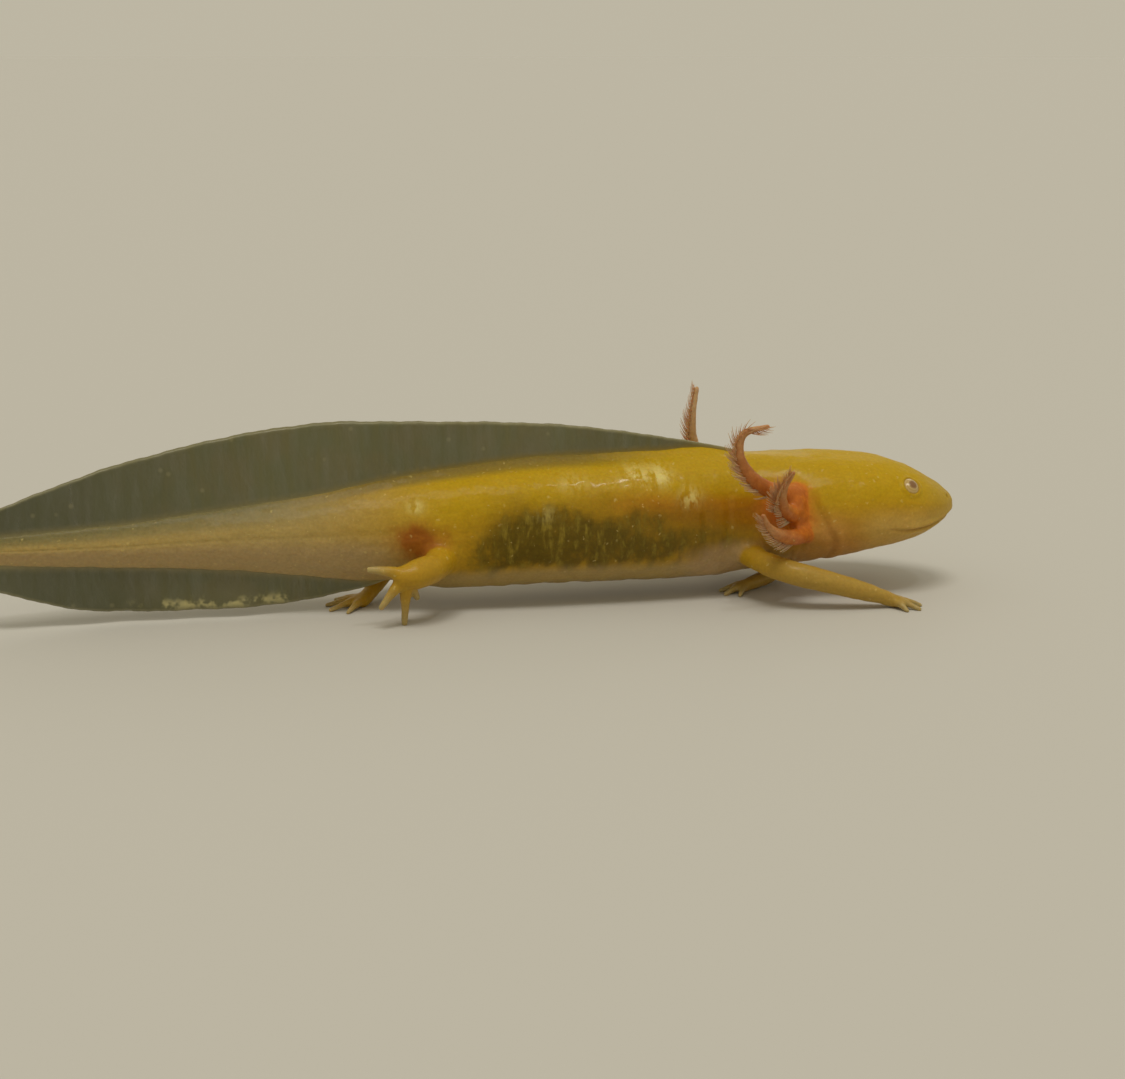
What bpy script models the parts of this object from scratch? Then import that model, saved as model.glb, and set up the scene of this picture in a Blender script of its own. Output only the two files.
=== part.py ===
"""Young albino axolotl as a life-size still model, standing on its four feet.

The trunk lies along X with the snout at +X. The animal's left side is +Y and the floor is Z = 0.
Sizes below are in millimetres. At the end the whole is moved so that the middle of its box stands at
X = 0, Y = 0.
"""

import math
import random

import bmesh
import bpy
import numpy as np
from mathutils import Vector

MM = 0.001
GAP = 0.3  # kept between nodes that meet

# Stations of head, trunk and the tail's muscle, from the tail's end to the snout:
# x, back line, underside, half width, height of the widest point as a share, squareness
STATIONS = [
    (-72.0, 9.45, 9.45, 0.0, 0.50, 2.0),  # end of the tail's muscle
    (-71.0, 9.80, 9.05, 0.32, 0.50, 2.0),
    (-62.0, 10.0, 8.00, 0.95, 0.50, 2.0),
    (-50.8, 10.45, 7.20, 1.50, 0.50, 2.0),
    (-39.3, 11.60, 6.25, 2.20, 0.50, 2.0),
    (-27.5, 12.95, 4.75, 3.20, 0.50, 2.0),
    (-20.0, 14.3, 3.50, 4.10, 0.48, 2.0),  # vent
    (-13.0, 15.2, 2.10, 5.10, 0.46, 2.1),  # hips
    (-3.0, 16.05, 2.15, 6.10, 0.45, 2.1),
    (8.0, 16.25, 1.95, 6.40, 0.45, 2.1),  # deepest part of the belly
    (16.3, 16.35, 1.90, 5.90, 0.45, 2.1),
    (21.0, 16.25, 2.40, 5.60, 0.45, 2.1),  # shoulders
    (26.0, 16.15, 3.15, 7.00, 0.43, 2.2),  # roots of the gills
    (31.0, 16.05, 3.95, 8.00, 0.41, 2.3),  # widest part of the head
    (36.0, 15.60, 4.95, 7.65, 0.41, 2.3),
    (39.8, 14.55, 5.80, 6.60, 0.42, 2.3),  # eyes
    (42.6, 13.15, 6.85, 5.10, 0.44, 2.2),
    (44.5, 11.90, 8.15, 3.30, 0.47, 2.1),  # nostrils
    (45.5, 11.00, 9.30, 1.75, 0.50, 2.0),
    (45.8, 10.25, 10.25, 0.0, 0.50, 2.0),  # tip of the snout
]
HEAD_X, TAIL_X = 24.0, -20.0  # where the head and the tail meet the trunk
SNOUT_X = 43.3  # ahead of this the head's rings stand closer together
HEAD_RINGS, SNOUT_RINGS, TAIL_RINGS = 13, 8, 24
HEAD_TURN = (19.0, 27.4, -2.7)  # the head bends to the right from this x, over this length, by this much
TAIL_TURN = (-40.0, 32.0, -1.3)  # and the end of the tail a little to the right

# Costal grooves: the upright furrows between the ribs on each flank
GROOVES, GROOVE_FIRST, GROOVE_STEP = 12, -12.2, 2.75
GROOVE_DEPTH, GROOVE_WIDTH = 0.22, 0.55
GROOVE_LIP = 1.1 * GROOVE_WIDTH  # from a groove's middle to the ring on either side of it
HIP_RINGS, SHOULDER_RINGS = (-18.0, -16.0, -14.3), (20.9, 22.4)  # x of the rings beyond the grooves

# The fin: x, height of its edge. The upper one runs from behind the gills to the end of the tail.
FIN_TOP = [
    (-72.6, 10.1), (-71.4, 10.7), (-67.0, 12.1), (-61.7, 13.8), (-56.0, 15.7), (-50.3, 17.5),
    (-43.5, 19.2), (-38.8, 20.2), (-33.0, 21.0), (-25.0, 21.55), (-16.2, 21.3), (-7.2, 20.8),
    (1.4, 20.1), (8.1, 19.1), (14.1, 17.95), (19.8, 16.9),
]
FIN_LOW = [
    (-72.6, 8.8), (-71.4, 8.2), (-67.0, 6.2), (-62.3, 4.5), (-59.0, 3.3), (-56.0, 2.3),
    (-51.0, 1.4), (-45.0, 1.1), (-39.6, 1.05), (-33.6, 1.1), (-27.7, 1.65), (-22.6, 2.55), (-20.2, 2.95),
]
FIN_ROOT, FIN_EDGE = 1.1, 0.5  # thickness where the fin meets the body, and at its edge
FIN_ROWS = 5  # points from root to edge
FIN_THINNING = 0.7  # how the thickness falls off from root to edge
FIN_GAIN = 0.25  # thickness that a low stretch of fin gains for each millimetre of its height
FIN_SPLIT = STATIONS[0][1]  # height that parts the upper fin from the lower one past the end of the muscle
FIN_END_XS = (-72.5, -71.8)  # the last columns of the tail's fins
FIN_BODY_X = -70.6  # the first column that stands on the muscle
FIN_FRONT_X, FIN_VENT_X = 18.4, -20.6  # where the upper fin starts and where the lower one ends
BACK_COLUMNS, TAIL_COLUMNS = 22, 26

EYE_X, EYE_Z = 39.2, 12.95
EYE_RADIUS, EYE_DEPTH = 1.42, 0.98  # the eyeball, and how far its middle lies under the skin
EYE_SEGMENTS, EYE_RINGS = 18, 12

# Mouth: x and height of the line between the lips, from the corner of the jaw towards the snout
MOUTH = [(36.4, 8.25), (38.6, 7.95), (41.2, 8.1), (43.6, 8.7), (45.4, 9.3)]
MOUTH_RADIUS = 0.3
LIP_RADIUS, LIP_OFFSET, LIP_SUNK = 0.5, 0.5, 0.36
LIP_END = 0.1  # radius of the lips at the corners of the jaw
NOSTRIL_X, NOSTRIL_Z, NOSTRIL_RADIUS, NOSTRIL_DEPTH = 44.5, 11.1, 0.28, 0.5
GROOVE_SIDES, NOSTRIL_SIDES = 6, 8

# Fold of skin in front of the gills and under the throat: degrees round from the throat's middle, and x
FOLD = [(0.0, 29.4), (40.0, 29.8), (70.0, 29.8), (90.0, 28.8), (110.0, 27.6), (128.0, 26.6)]
FOLD_RADIUS = 0.3

# Gills: points of each stalk from inside the head to its tip, and its radius at root, middle and tip
GILLS = {
    "right_gill_1": [(27.0, -5.0, 12.4), (24.9, -6.9, 12.6), (21.9, -8.2, 13.5), (19.3, -9.1, 15.4),
                     (17.8, -9.8, 18.0), (18.1, -10.4, 20.4), (20.6, -11.1, 21.3)],
    "right_gill_2": [(27.6, -5.4, 10.6), (25.7, -7.5, 10.3), (23.7, -9.4, 11.1), (22.4, -11.1, 12.7),
                     (22.2, -12.5, 14.6), (22.9, -13.5, 16.5)],
    "right_gill_3": [(28.0, -5.6, 8.6), (26.3, -7.8, 8.0), (24.2, -9.8, 8.3), (22.1, -11.4, 9.1),
                     (20.5, -12.6, 10.3), (19.6, -13.4, 11.8)],
    "left_gill_1": [(27.2, 3.9, 12.3), (24.8, 6.0, 12.4), (21.0, 7.4, 12.9), (18.3, 7.3, 14.2),
                    (17.1, 6.8, 16.8), (17.0, 6.4, 19.7), (17.5, 6.5, 22.7)],
    "left_gill_2": [(27.8, 4.3, 10.8), (26.0, 6.3, 10.9), (23.6, 8.9, 10.9), (21.4, 11.1, 11.5),
                    (20.3, 12.5, 12.9)],
    "left_gill_3": [(28.2, 4.5, 9.2), (26.5, 6.7, 8.9), (24.2, 9.0, 8.2), (21.6, 11.2, 8.0),
                    (19.7, 12.8, 8.9)],
}
GILL_RADII = (1.12, 0.76, 0.3)
GILL_SIDES = 8

# Filaments: the short threads in two rows along the rear of each stalk
FILAMENTS = 8  # in a row
FILAMENT_FIRST, FILAMENT_LAST = 0.34, 0.94  # shares of the stalk's length
FILAMENT_LONG, FILAMENT_SHORT = 1.75, 1.0
FILAMENT_RADII = (0.27, 0.24, 0.13)
FILAMENT_SPREAD, FILAMENT_LEAN = 0.75, 0.55  # radians between row and rear, and how far they lean to the tip
FILAMENT_SIDES = 5
FILAMENT_REAR = (-1.0, 0.0, -0.5)  # the way that the rear of a stalk looks
ROW_OFFSET = 0.02  # each row's filaments stand this share of the stalk before or behind the other's
BEND_OUT, BEND_ALONG = 0.5, 0.12  # where a filament bends, as shares of its length
SPREAD_RANGE, LENGTH_RANGE = (0.8, 1.2), (0.8, 1.15)  # how much the filaments differ
SEED = 7

# Legs: points from inside the trunk to the palm, with the limb's radius at each
LEGS = {
    "right_front_leg": [(20.0, -2.6, 6.4, 1.7), (20.7, -5.4, 5.4, 1.5), (22.4, -8.2, 4.7, 1.35),
                        (24.8, -10.2, 4.1, 1.35), (28.6, -11.1, 3.1, 1.25), (32.0, -11.5, 2.1, 1.08),
                        (34.6, -11.6, 1.25, 0.85), (36.1, -11.8, 0.66, 0.76)],
    "left_front_leg": [(20.0, 2.6, 6.4, 1.7), (20.9, 5.4, 5.5, 1.5), (22.8, 6.6, 4.2, 1.35),
                       (25.2, 5.7, 2.8, 1.2), (26.6, 3.2, 1.75, 1.1), (24.9, 0.5, 1.2, 0.98),
                       (22.5, -1.1, 0.85, 0.8), (20.9, -1.9, 0.62, 0.68)],
    "right_hind_leg": [(-14.4, -2.2, 6.9, 2.0), (-14.7, -4.6, 6.5, 1.8), (-15.6, -6.4, 6.2, 1.65),
                       (-17.0, -7.6, 6.05, 1.65), (-18.2, -8.3, 5.9, 1.6), (-19.4, -8.7, 5.9, 1.3)],
    "left_hind_leg": [(-15.2, 2.2, 7.4, 2.1), (-15.8, 4.9, 6.5, 1.9), (-17.0, 6.9, 5.4, 1.6),
                      (-18.8, 6.5, 3.8, 1.3), (-20.6, 4.2, 2.3, 1.05), (-22.0, 2.3, 1.2, 0.85),
                      (-23.0, 1.0, 0.66, 0.8)],
}
# Toes: the tip of each, from the palm's end. A tip at the floor's height stands on it.
TOE_FLOOR = 0.17
TOES = {
    "right_front_leg": [(38.2, -10.5, TOE_FLOOR), (38.9, -12.1, TOE_FLOOR), (38.2, -13.7, TOE_FLOOR),
                        (36.6, -14.0, TOE_FLOOR)],
    "left_front_leg": [(19.7, -0.1, TOE_FLOOR), (18.5, -1.4, TOE_FLOOR), (18.6, -3.1, TOE_FLOOR),
                       (20.1, -4.0, TOE_FLOOR)],
    "right_hind_leg": [(-17.8, -6.9, 2.9), (-19.0, -5.5, TOE_FLOOR), (-19.3, -7.3, TOE_FLOOR),
                       (-22.0, -9.0, 2.6), (-23.2, -8.9, 6.9)],
    "left_hind_leg": [(-23.7, 4.4, TOE_FLOOR), (-25.7, 3.9, TOE_FLOOR), (-26.9, 1.9, TOE_FLOOR),
                      (-26.7, -0.3, TOE_FLOOR), (-24.9, -1.7, TOE_FLOOR)],
}
TOE_RADII = (0.72, 0.4, 0.24)
SPREAD_FOOT = "right_hind_leg"  # hangs off the floor with its toes spread, which makes them wide at the root
SPREAD_TOE_RADII = (0.95, 0.56, 0.3)
TOE_ROOT = 0.25  # how far back from the palm's end a toe starts, as a share of the last stretch
KNUCKLE_RISE = 0.12  # how far a toe arches
LEG_SIDES, TOE_SIDES = 10, 6
FLOOR_SIZE = 300.0

BODY_SIDES, HEAD_SIDES, TAIL_SIDES = 22, 32, 16
COLOURS = {
    "skin": ((0.72, 0.42, 0.04, 1.0), 0.35),
    "fin": ((0.42, 0.40, 0.18, 1.0), 0.3),
    "gill": ((0.55, 0.17, 0.07, 1.0), 0.4),
    "eye": ((0.80, 0.66, 0.52, 1.0), 0.1),
}


def material(name):
    """A Principled material with the colour and roughness of that kind of flesh."""
    made = bpy.data.materials.get(name)
    if made is None:
        made = bpy.data.materials.new(name)
        made.use_nodes = True
        shader = made.node_tree.nodes["Principled BSDF"]
        shader.inputs["Base Color"].default_value = COLOURS[name][0]
        shader.inputs["Roughness"].default_value = COLOURS[name][1]
        shader.inputs["Metallic"].default_value = 0.0
    return made


def eased(values, places):
    """Values read between rows of numbers, on a smooth curve that never swings past a row."""
    values = np.asarray(values, float)
    step = np.diff(values, axis=0)
    product = step[:-1] * step[1:]
    total = step[:-1] + step[1:]
    inner = np.where(product > 0, 2 * product / np.where(total == 0, 1, total), 0)
    slope = np.vstack([step[:1], inner, step[-1:]])
    places = np.clip(np.atleast_1d(places), 0, len(values) - 1)
    row = np.minimum(places.astype(int), len(values) - 2)
    u = (places - row)[:, None]
    return (
        values[row] * (1 + 2 * u) * (1 - u) ** 2
        + slope[row] * u * (1 - u) ** 2
        + values[row + 1] * u * u * (3 - 2 * u)
        + slope[row + 1] * u * u * (u - 1)
    )


def place_of(x, table):
    """The place along a table, as a row number with a fraction, where its first column is x."""
    fine = np.linspace(0, len(table) - 1, 40 * len(table))
    return np.interp(x, eased(table, fine)[:, 0], fine)


def at_x(table, x):
    """The table's second column at x."""
    return float(eased(table, place_of(x, table))[0, 1])


def middle_y(x):
    """How far the line of the back stands from Y = 0 at x."""
    y = 0.0
    for start, length, shift in (HEAD_TURN, TAIL_TURN):
        share = (x - start) / math.copysign(length, start)
        y += shift * max(share, 0.0) ** 1.5
    return y


def groove(x):
    """Depth of the costal grooves at x, in millimetres."""
    centres = GROOVE_FIRST + GROOVE_STEP * np.arange(GROOVES)
    return GROOVE_DEPTH * float(np.exp(-(((x - centres) / GROOVE_WIDTH) ** 2)).sum())


def ring_point(row, angle, grow=0.0):
    """A point on the body at a row of STATIONS and an angle from the left over the back, grown outwards."""
    x, top, low, half, share, square = row
    centre = low + share * (top - low)
    c, s = math.cos(angle), math.sin(angle)
    wide = math.copysign(abs(c) ** (2 / square), c)
    high = math.copysign(abs(s) ** (2 / square), s)
    reach = half + grow - (0 if grow else groove(x) * c * c)
    rise = (top - centre if s > 0 else centre - low) + grow
    return np.array((x, middle_y(x) + reach * wide, centre + rise * high))


def body_ring(place, sides=BODY_SIDES, grow=0.0):
    """The outline of the body at a place in STATIONS, as points round it, or one point at its very ends."""
    row = eased(STATIONS, place)[0]
    if row[3] < 1e-6:
        x, centre = row[0], row[1]
        return np.array([(x + math.copysign(grow, x), middle_y(x), centre)])
    return np.array([ring_point(row, 2 * math.pi * i / sides + math.pi / 2, grow) for i in range(sides)])


def skin_round(x, angle, sunk=0.0):
    """A point of the skin at x and at an angle round the body, or sunk under the skin there."""
    row = eased(STATIONS, place_of(x, STATIONS))[0]
    point = ring_point(row, angle)
    if sunk:
        ahead = ring_point(eased(STATIONS, place_of(x + 0.2, STATIONS))[0], angle) - point
        sideways = ring_point(row, angle + 0.02) - point
        normal = np.cross(sideways, ahead)
        point = point - sunk * normal / np.linalg.norm(normal)
    return point


def skin_at(x, z, side, sunk=0.0):
    """A point of the skin at x and height z, on the left (1) or right (-1), or sunk under the skin there."""
    _, top, low, _, share, square = eased(STATIONS, place_of(x, STATIONS))[0]
    centre = low + share * (top - low)
    rise = top - centre if z > centre else centre - low
    high = min(abs(z - centre) / rise, 1.0)
    angle = math.asin(math.copysign(high ** (square / 2), z - centre))
    return skin_round(x, angle if side > 0 else math.pi - angle, sunk)


def add_object(name, points, faces):
    """A closed mesh object from points in millimetres."""
    mesh = bpy.data.meshes.new(name)
    mesh.from_pydata([Vector(p) * MM for p in points], [], faces)
    work = bmesh.new()
    work.from_mesh(mesh)
    bmesh.ops.recalc_face_normals(work, faces=work.faces)
    work.to_mesh(mesh)
    work.free()
    made = bpy.data.objects.new(name, mesh)
    bpy.context.scene.collection.objects.link(made)
    return made


def loft(name, rings):
    """A closed skin over rings of points. A ring of one point is a pole, and open ends get a fan."""
    rings = [np.asarray(ring, float) for ring in rings]
    if len(rings[0]) > 1:
        rings.insert(0, rings[0].mean(axis=0)[None])
    if len(rings[-1]) > 1:
        rings.append(rings[-1].mean(axis=0)[None])
    starts = np.cumsum([0] + [len(ring) for ring in rings])
    faces = []
    for k in range(len(rings) - 1):
        a, b = starts[k], starts[k + 1]
        m, n = len(rings[k]), len(rings[k + 1])
        for i in range(max(m, n)):
            j = (i + 1) % max(m, n)
            if m == 1:
                faces.append((a, b + i, b + j))
            elif n == 1:
                faces.append((a + i, b, a + j))
            else:
                faces.append((a + i, b + i, b + j, a + j))
    return add_object(name, np.vstack(rings), [tuple(int(v) for v in f) for f in faces])


def tube(name, path, radii, sides, steps=2, flat=1.0):
    """A closed tube with a rounded tip along a smooth path, its radius read from radii spread along it."""
    path = np.asarray(path, float)
    count = (len(path) - 1) * steps + 1
    line = eased_path(path, np.linspace(0, len(path) - 1, count))
    width = eased(np.asarray(radii, float)[:, None], np.linspace(0, len(radii) - 1, count))[:, 0]
    tangent = np.gradient(line, axis=0)
    tangent /= np.linalg.norm(tangent, axis=1)[:, None]
    across = np.cross(tangent[0], (0, 0, 1))
    rings = []
    for point, along, radius in zip(line, tangent, width):
        across = across - along * (across @ along)
        across /= np.linalg.norm(across)
        up = np.cross(across, along)
        turn = 2 * math.pi * np.arange(sides) / sides
        rings.append(point + radius * (np.outer(np.cos(turn), across) + flat * np.outer(np.sin(turn), up)))
    tip = line[-1] + tangent[-1] * width[-1] * 0.8
    rings.append(tip[None])
    return loft(name, rings)


def eased_path(path, places):
    """Points on a Catmull-Rom curve through the path's points."""
    ends = np.vstack([2 * path[0] - path[1], path, 2 * path[-1] - path[-2]])
    row = np.minimum(places.astype(int), len(path) - 2)
    u = (places - row)[:, None]
    a, b, c, d = (ends[row + k] for k in range(4))
    return 0.5 * (2 * b + (c - a) * u + (2 * a - 5 * b + 4 * c - d) * u**2 + (3 * b - a - 3 * c + d) * u**3)


def fused(name, pieces, cutters=()):
    """One closed mesh: the pieces joined, the cutters taken away, and only the largest surface kept."""
    body = pieces[0]
    body.name = name
    helpers = bpy.data.collections.new(name + "_pieces")
    bpy.context.scene.collection.children.link(helpers)
    for piece in pieces[1:]:
        bpy.context.scene.collection.objects.unlink(piece)
        helpers.objects.link(piece)
    if len(pieces) > 1:
        join = body.modifiers.new("join", "BOOLEAN")
        join.operation = "UNION"
        join.operand_type = "COLLECTION"
        join.collection = helpers
        apply_modifiers(body)
    for piece in list(helpers.objects):
        bpy.data.objects.remove(piece)
    bpy.data.collections.remove(helpers)
    for cutter in cutters:
        cut = body.modifiers.new("cut", "BOOLEAN")
        cut.operation = "DIFFERENCE"
        cut.object = cutter
        apply_modifiers(body)
    keep_largest(body)
    return body


def apply_modifiers(body):
    """Puts what the modifiers make into the object's own mesh."""
    graph = bpy.context.evaluated_depsgraph_get()
    made = bpy.data.meshes.new_from_object(body.evaluated_get(graph))
    body.modifiers.clear()
    body.data = made


def keep_largest(body):
    """Drops every surface of the mesh but the one with the most volume."""
    work = bmesh.new()
    work.from_mesh(body.data)
    bmesh.ops.remove_doubles(work, verts=work.verts, dist=1e-7)
    bmesh.ops.triangulate(work, faces=work.faces)
    left = set(work.faces)
    shells = []
    while left:
        front = [left.pop()]
        shell = list(front)
        while front:
            near = {f for edge in front.pop().edges for f in edge.link_faces} & left
            left -= near
            front.extend(near)
            shell.extend(near)
        shells.append(shell)
    volumes = [abs(sum(f.verts[0].co.dot(f.verts[1].co.cross(f.verts[2].co)) for f in s)) for s in shells]
    best = volumes.index(max(volumes))
    for i, shell in enumerate(shells):
        if i != best:
            bmesh.ops.delete(work, geom=shell, context="FACES")
    work.to_mesh(body.data)
    work.free()


def body_places(start, end, xs):
    """Places in STATIONS for rings at these x, between two ends that meet other nodes."""
    inside = [x for x in xs if start + 0.25 < x < end - 0.25]
    return [place_of(x, STATIONS) for x in [start, *inside, end]]


def trunk_xs():
    """Rings of the trunk: three at each costal groove and one between grooves."""
    xs = []
    for k in range(GROOVES):
        centre = GROOVE_FIRST + GROOVE_STEP * k
        xs += [centre - GROOVE_LIP, centre, centre + GROOVE_LIP, centre + GROOVE_STEP / 2]
    return [*HIP_RINGS, *xs, *SHOULDER_RINGS]


def head_places():
    """Rings of the head, closer together towards the snout, with the snout's tip as the last."""
    start = place_of(HEAD_X + GAP / 2, STATIONS)
    end = len(STATIONS) - 1
    snout = place_of(SNOUT_X, STATIONS)
    return [*np.linspace(start, snout, HEAD_RINGS), *np.linspace(snout, end, SNOUT_RINGS)[1:]]


def tail_places():
    """Rings of the tail, from its tip to the vent."""
    return [0.0, 0.5, *np.linspace(1, place_of(TAIL_X - GAP / 2, STATIONS), TAIL_RINGS)]


def whole_body(grow):
    """Head, trunk and tail in one closed skin, grown by the gap that other nodes keep from it."""
    places = [0.0, 0.5, *np.linspace(1, place_of(TAIL_X, STATIONS), TAIL_RINGS)[:-1]]
    places += body_places(TAIL_X, HEAD_X, trunk_xs()) + head_places()[1:]
    made = loft("grown_body", [body_ring(place, grow=grow) for place in places])
    made.hide_render = True
    made.display_type = "WIRE"
    return made


def mouth_line(offset=0.0, sunk=0.0, count=12):
    """Points on the skin along the mouth, from its right corner round the snout to its left one."""
    fine = np.linspace(MOUTH[-2][0], STATIONS[-1][0] - 0.02, 400)
    under = eased(STATIONS, place_of(fine, STATIONS))[:, 2]
    line = np.interp(fine, *np.transpose(MOUTH)) + offset
    front = fine[np.argmax(under > line)]
    share = np.linspace(1, 0, count)
    xs = front - (front - MOUTH[0][0]) * share**2
    zs = [at_x(MOUTH, x) + offset for x in xs]
    sides = [[skin_at(x, z, side, sunk) for x, z in zip(xs, zs)] for side in (-1, 1)]
    return [*sides[0], *sides[1][-2::-1]]


def fold_line(count=21):
    """Points on the skin along the fold, from above the right gills, under the throat, to the left ones."""
    turns = np.linspace(-FOLD[-1][0], FOLD[-1][0], count)
    return [skin_round(at_x(FOLD, abs(turn)), math.radians(turn - 90)) for turn in turns]


def make_head(sockets):
    """The head: two lips fused on, then mouth line, nostrils, throat fold and eye sockets cut in."""
    pieces = [loft("head", [body_ring(place, sides=HEAD_SIDES) for place in head_places()])]
    for offset in (LIP_OFFSET, -LIP_OFFSET):
        radii = [LIP_END, LIP_RADIUS, LIP_RADIUS, LIP_RADIUS, LIP_END]
        pieces.append(tube("lip", mouth_line(offset, LIP_SUNK), radii, GROOVE_SIDES, steps=1))
    cutters = [
        tube("mouth", mouth_line(), [MOUTH_RADIUS] * 2, GROOVE_SIDES, steps=1),
        tube("fold", fold_line(), [FOLD_RADIUS] * 2, GROOVE_SIDES, steps=1),
    ]
    for side in (-1, 1):
        ends = [skin_at(NOSTRIL_X, NOSTRIL_Z, side, sunk) for sunk in (NOSTRIL_DEPTH, -NOSTRIL_DEPTH)]
        cutters.append(tube("nostril", ends, [NOSTRIL_RADIUS] * 2, NOSTRIL_SIDES, steps=1))
    head = fused("head", pieces, cutters + sockets)
    for cutter in cutters + sockets:
        bpy.data.objects.remove(cutter)
    return head


def make_fin(name, xs, root_z, edge_z):
    """A thin plate between the body and the fin's edge, split into like triangles on both faces."""
    rows = FIN_ROWS
    points, faces = [], []
    for x in xs:
        low, high = root_z(x), edge_z(x)
        for j in range(rows):
            share = j / (rows - 1)
            thick = FIN_ROOT + (FIN_EDGE - FIN_ROOT) * share**FIN_THINNING
            thick = min(thick, FIN_EDGE + FIN_GAIN * abs(high - low))
            z = low + (high - low) * share
            for side in (-1, 1):
                points.append((x, middle_y(x) + side * thick / 2, z))

    def corner(i, j, side):
        return 2 * (i * rows + j) + side

    for i in range(len(xs) - 1):
        for j in range(rows - 1):
            for side in (0, 1):
                a, b = corner(i, j, side), corner(i + 1, j, side)
                c, d = corner(i + 1, j + 1, side), corner(i, j + 1, side)
                faces += [(a, b, c), (a, c, d)] if side else [(c, b, a), (d, c, a)]
        for j in (0, rows - 1):
            a, b = corner(i, j, 0), corner(i + 1, j, 0)
            faces.append((a, b, b + 1, a + 1) if j == 0 else (a + 1, b + 1, b, a))
    for i in (0, len(xs) - 1):
        for j in range(rows - 1):
            a, b = corner(i, j, 0), corner(i, j + 1, 0)
            faces.append((a, a + 1, b + 1, b) if i == 0 else (b, b + 1, a + 1, a))
    return add_object(name, points, faces)


def make_fins():
    """The upper fin on trunk and tail, and the lower fin behind the vent."""

    def back(x):
        return float(eased(STATIONS, place_of(x, STATIONS))[0, 1]) + GAP

    def belly(x):
        return float(eased(STATIONS, place_of(x, STATIONS))[0, 2]) - GAP

    def top(x):
        return at_x(FIN_TOP, x)

    def low(x):
        return at_x(FIN_LOW, x)

    def upper_root(x):
        return max(back(x), FIN_SPLIT + GAP)

    def lower_root(x):
        return min(belly(x), FIN_SPLIT - GAP)

    tail_xs = [*FIN_END_XS, *np.linspace(FIN_BODY_X, TAIL_X - GAP / 2, TAIL_COLUMNS)]
    back_xs = list(np.linspace(TAIL_X + GAP / 2, FIN_FRONT_X, BACK_COLUMNS))
    return [
        make_fin("back_fin", back_xs, back, top),
        make_fin("tail_fin_upper", tail_xs, upper_root, top),
        make_fin("tail_fin_lower", tail_xs[:-1] + [FIN_VENT_X], lower_root, low),
    ]


def make_gill(name, skin, draw):
    """One gill: a curved, tapering stalk with two rows of short filaments along its rear."""
    path = np.asarray(GILLS[name], float)
    pieces = [tube(name, path, GILL_RADII, GILL_SIDES)]
    for k, share in enumerate(np.linspace(FILAMENT_FIRST, FILAMENT_LAST, FILAMENTS)):
        for row in (-1, 1):
            place = (share + row * ROW_OFFSET) * (len(path) - 1)
            here, ahead = eased_path(path, np.array([place, place + 0.05]))
            along = (ahead - here) / np.linalg.norm(ahead - here)
            rear = np.array(FILAMENT_REAR)
            rear -= along * (rear @ along)
            rear /= np.linalg.norm(rear)
            spread = row * FILAMENT_SPREAD * draw.uniform(*SPREAD_RANGE)
            out = rear * math.cos(spread) + np.cross(along, rear) * math.sin(spread)
            length = FILAMENT_LONG + (FILAMENT_SHORT - FILAMENT_LONG) * share
            length *= draw.uniform(*LENGTH_RANGE)
            bend = here + (out * BEND_OUT + along * BEND_ALONG) * length
            tip = here + (out + along * FILAMENT_LEAN) * length
            thread = f"{name}_{k}_{row}"
            pieces.append(tube(thread, [here, bend, tip], FILAMENT_RADII, FILAMENT_SIDES, steps=1))
    return fused(name, pieces, [skin])


def make_leg(name, skin, floor):
    """One leg with its toes, cut to the trunk's surface and flat where it stands on the floor."""
    limb = LEGS[name]
    path = [row[:3] for row in limb]
    pieces = [tube(name, path, [row[3] for row in limb], LEG_SIDES)]
    palm = np.array(path[-1])
    root = palm + TOE_ROOT * (np.array(path[-2]) - palm)
    radii = SPREAD_TOE_RADII if name == SPREAD_FOOT else TOE_RADII
    for k, tip in enumerate(TOES[name]):
        knuckle = (root + np.array(tip)) / 2 + (0, 0, KNUCKLE_RISE)
        pieces.append(tube(f"{name}_toe_{k}", [root, knuckle, tip], radii, TOE_SIDES))
    return fused(name, pieces, [skin, floor])


def make_eyes():
    """The two eyeballs, and the sockets that the head is cut with."""
    eyes, sockets = [], []
    for name, side in (("right_eye", -1), ("left_eye", 1)):
        middle = skin_at(EYE_X, EYE_Z, side, EYE_DEPTH)
        for kind, radius in ((name, EYE_RADIUS), ("socket_" + name, EYE_RADIUS + GAP)):
            bpy.ops.mesh.primitive_uv_sphere_add(segments=EYE_SEGMENTS, ring_count=EYE_RINGS,
                                                 radius=radius * MM)
            ball = bpy.context.object
            ball.name = kind
            ball.location = Vector(middle) * MM
            (eyes if kind == name else sockets).append(ball)
    return eyes, sockets


def floor_block():
    """Everything under the floor, which flattens the feet."""
    bpy.ops.mesh.primitive_cube_add(size=FLOOR_SIZE * MM, location=(0, 0, -FLOOR_SIZE * MM / 2))
    block = bpy.context.object
    block.name = "floor_block"
    return block


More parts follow.
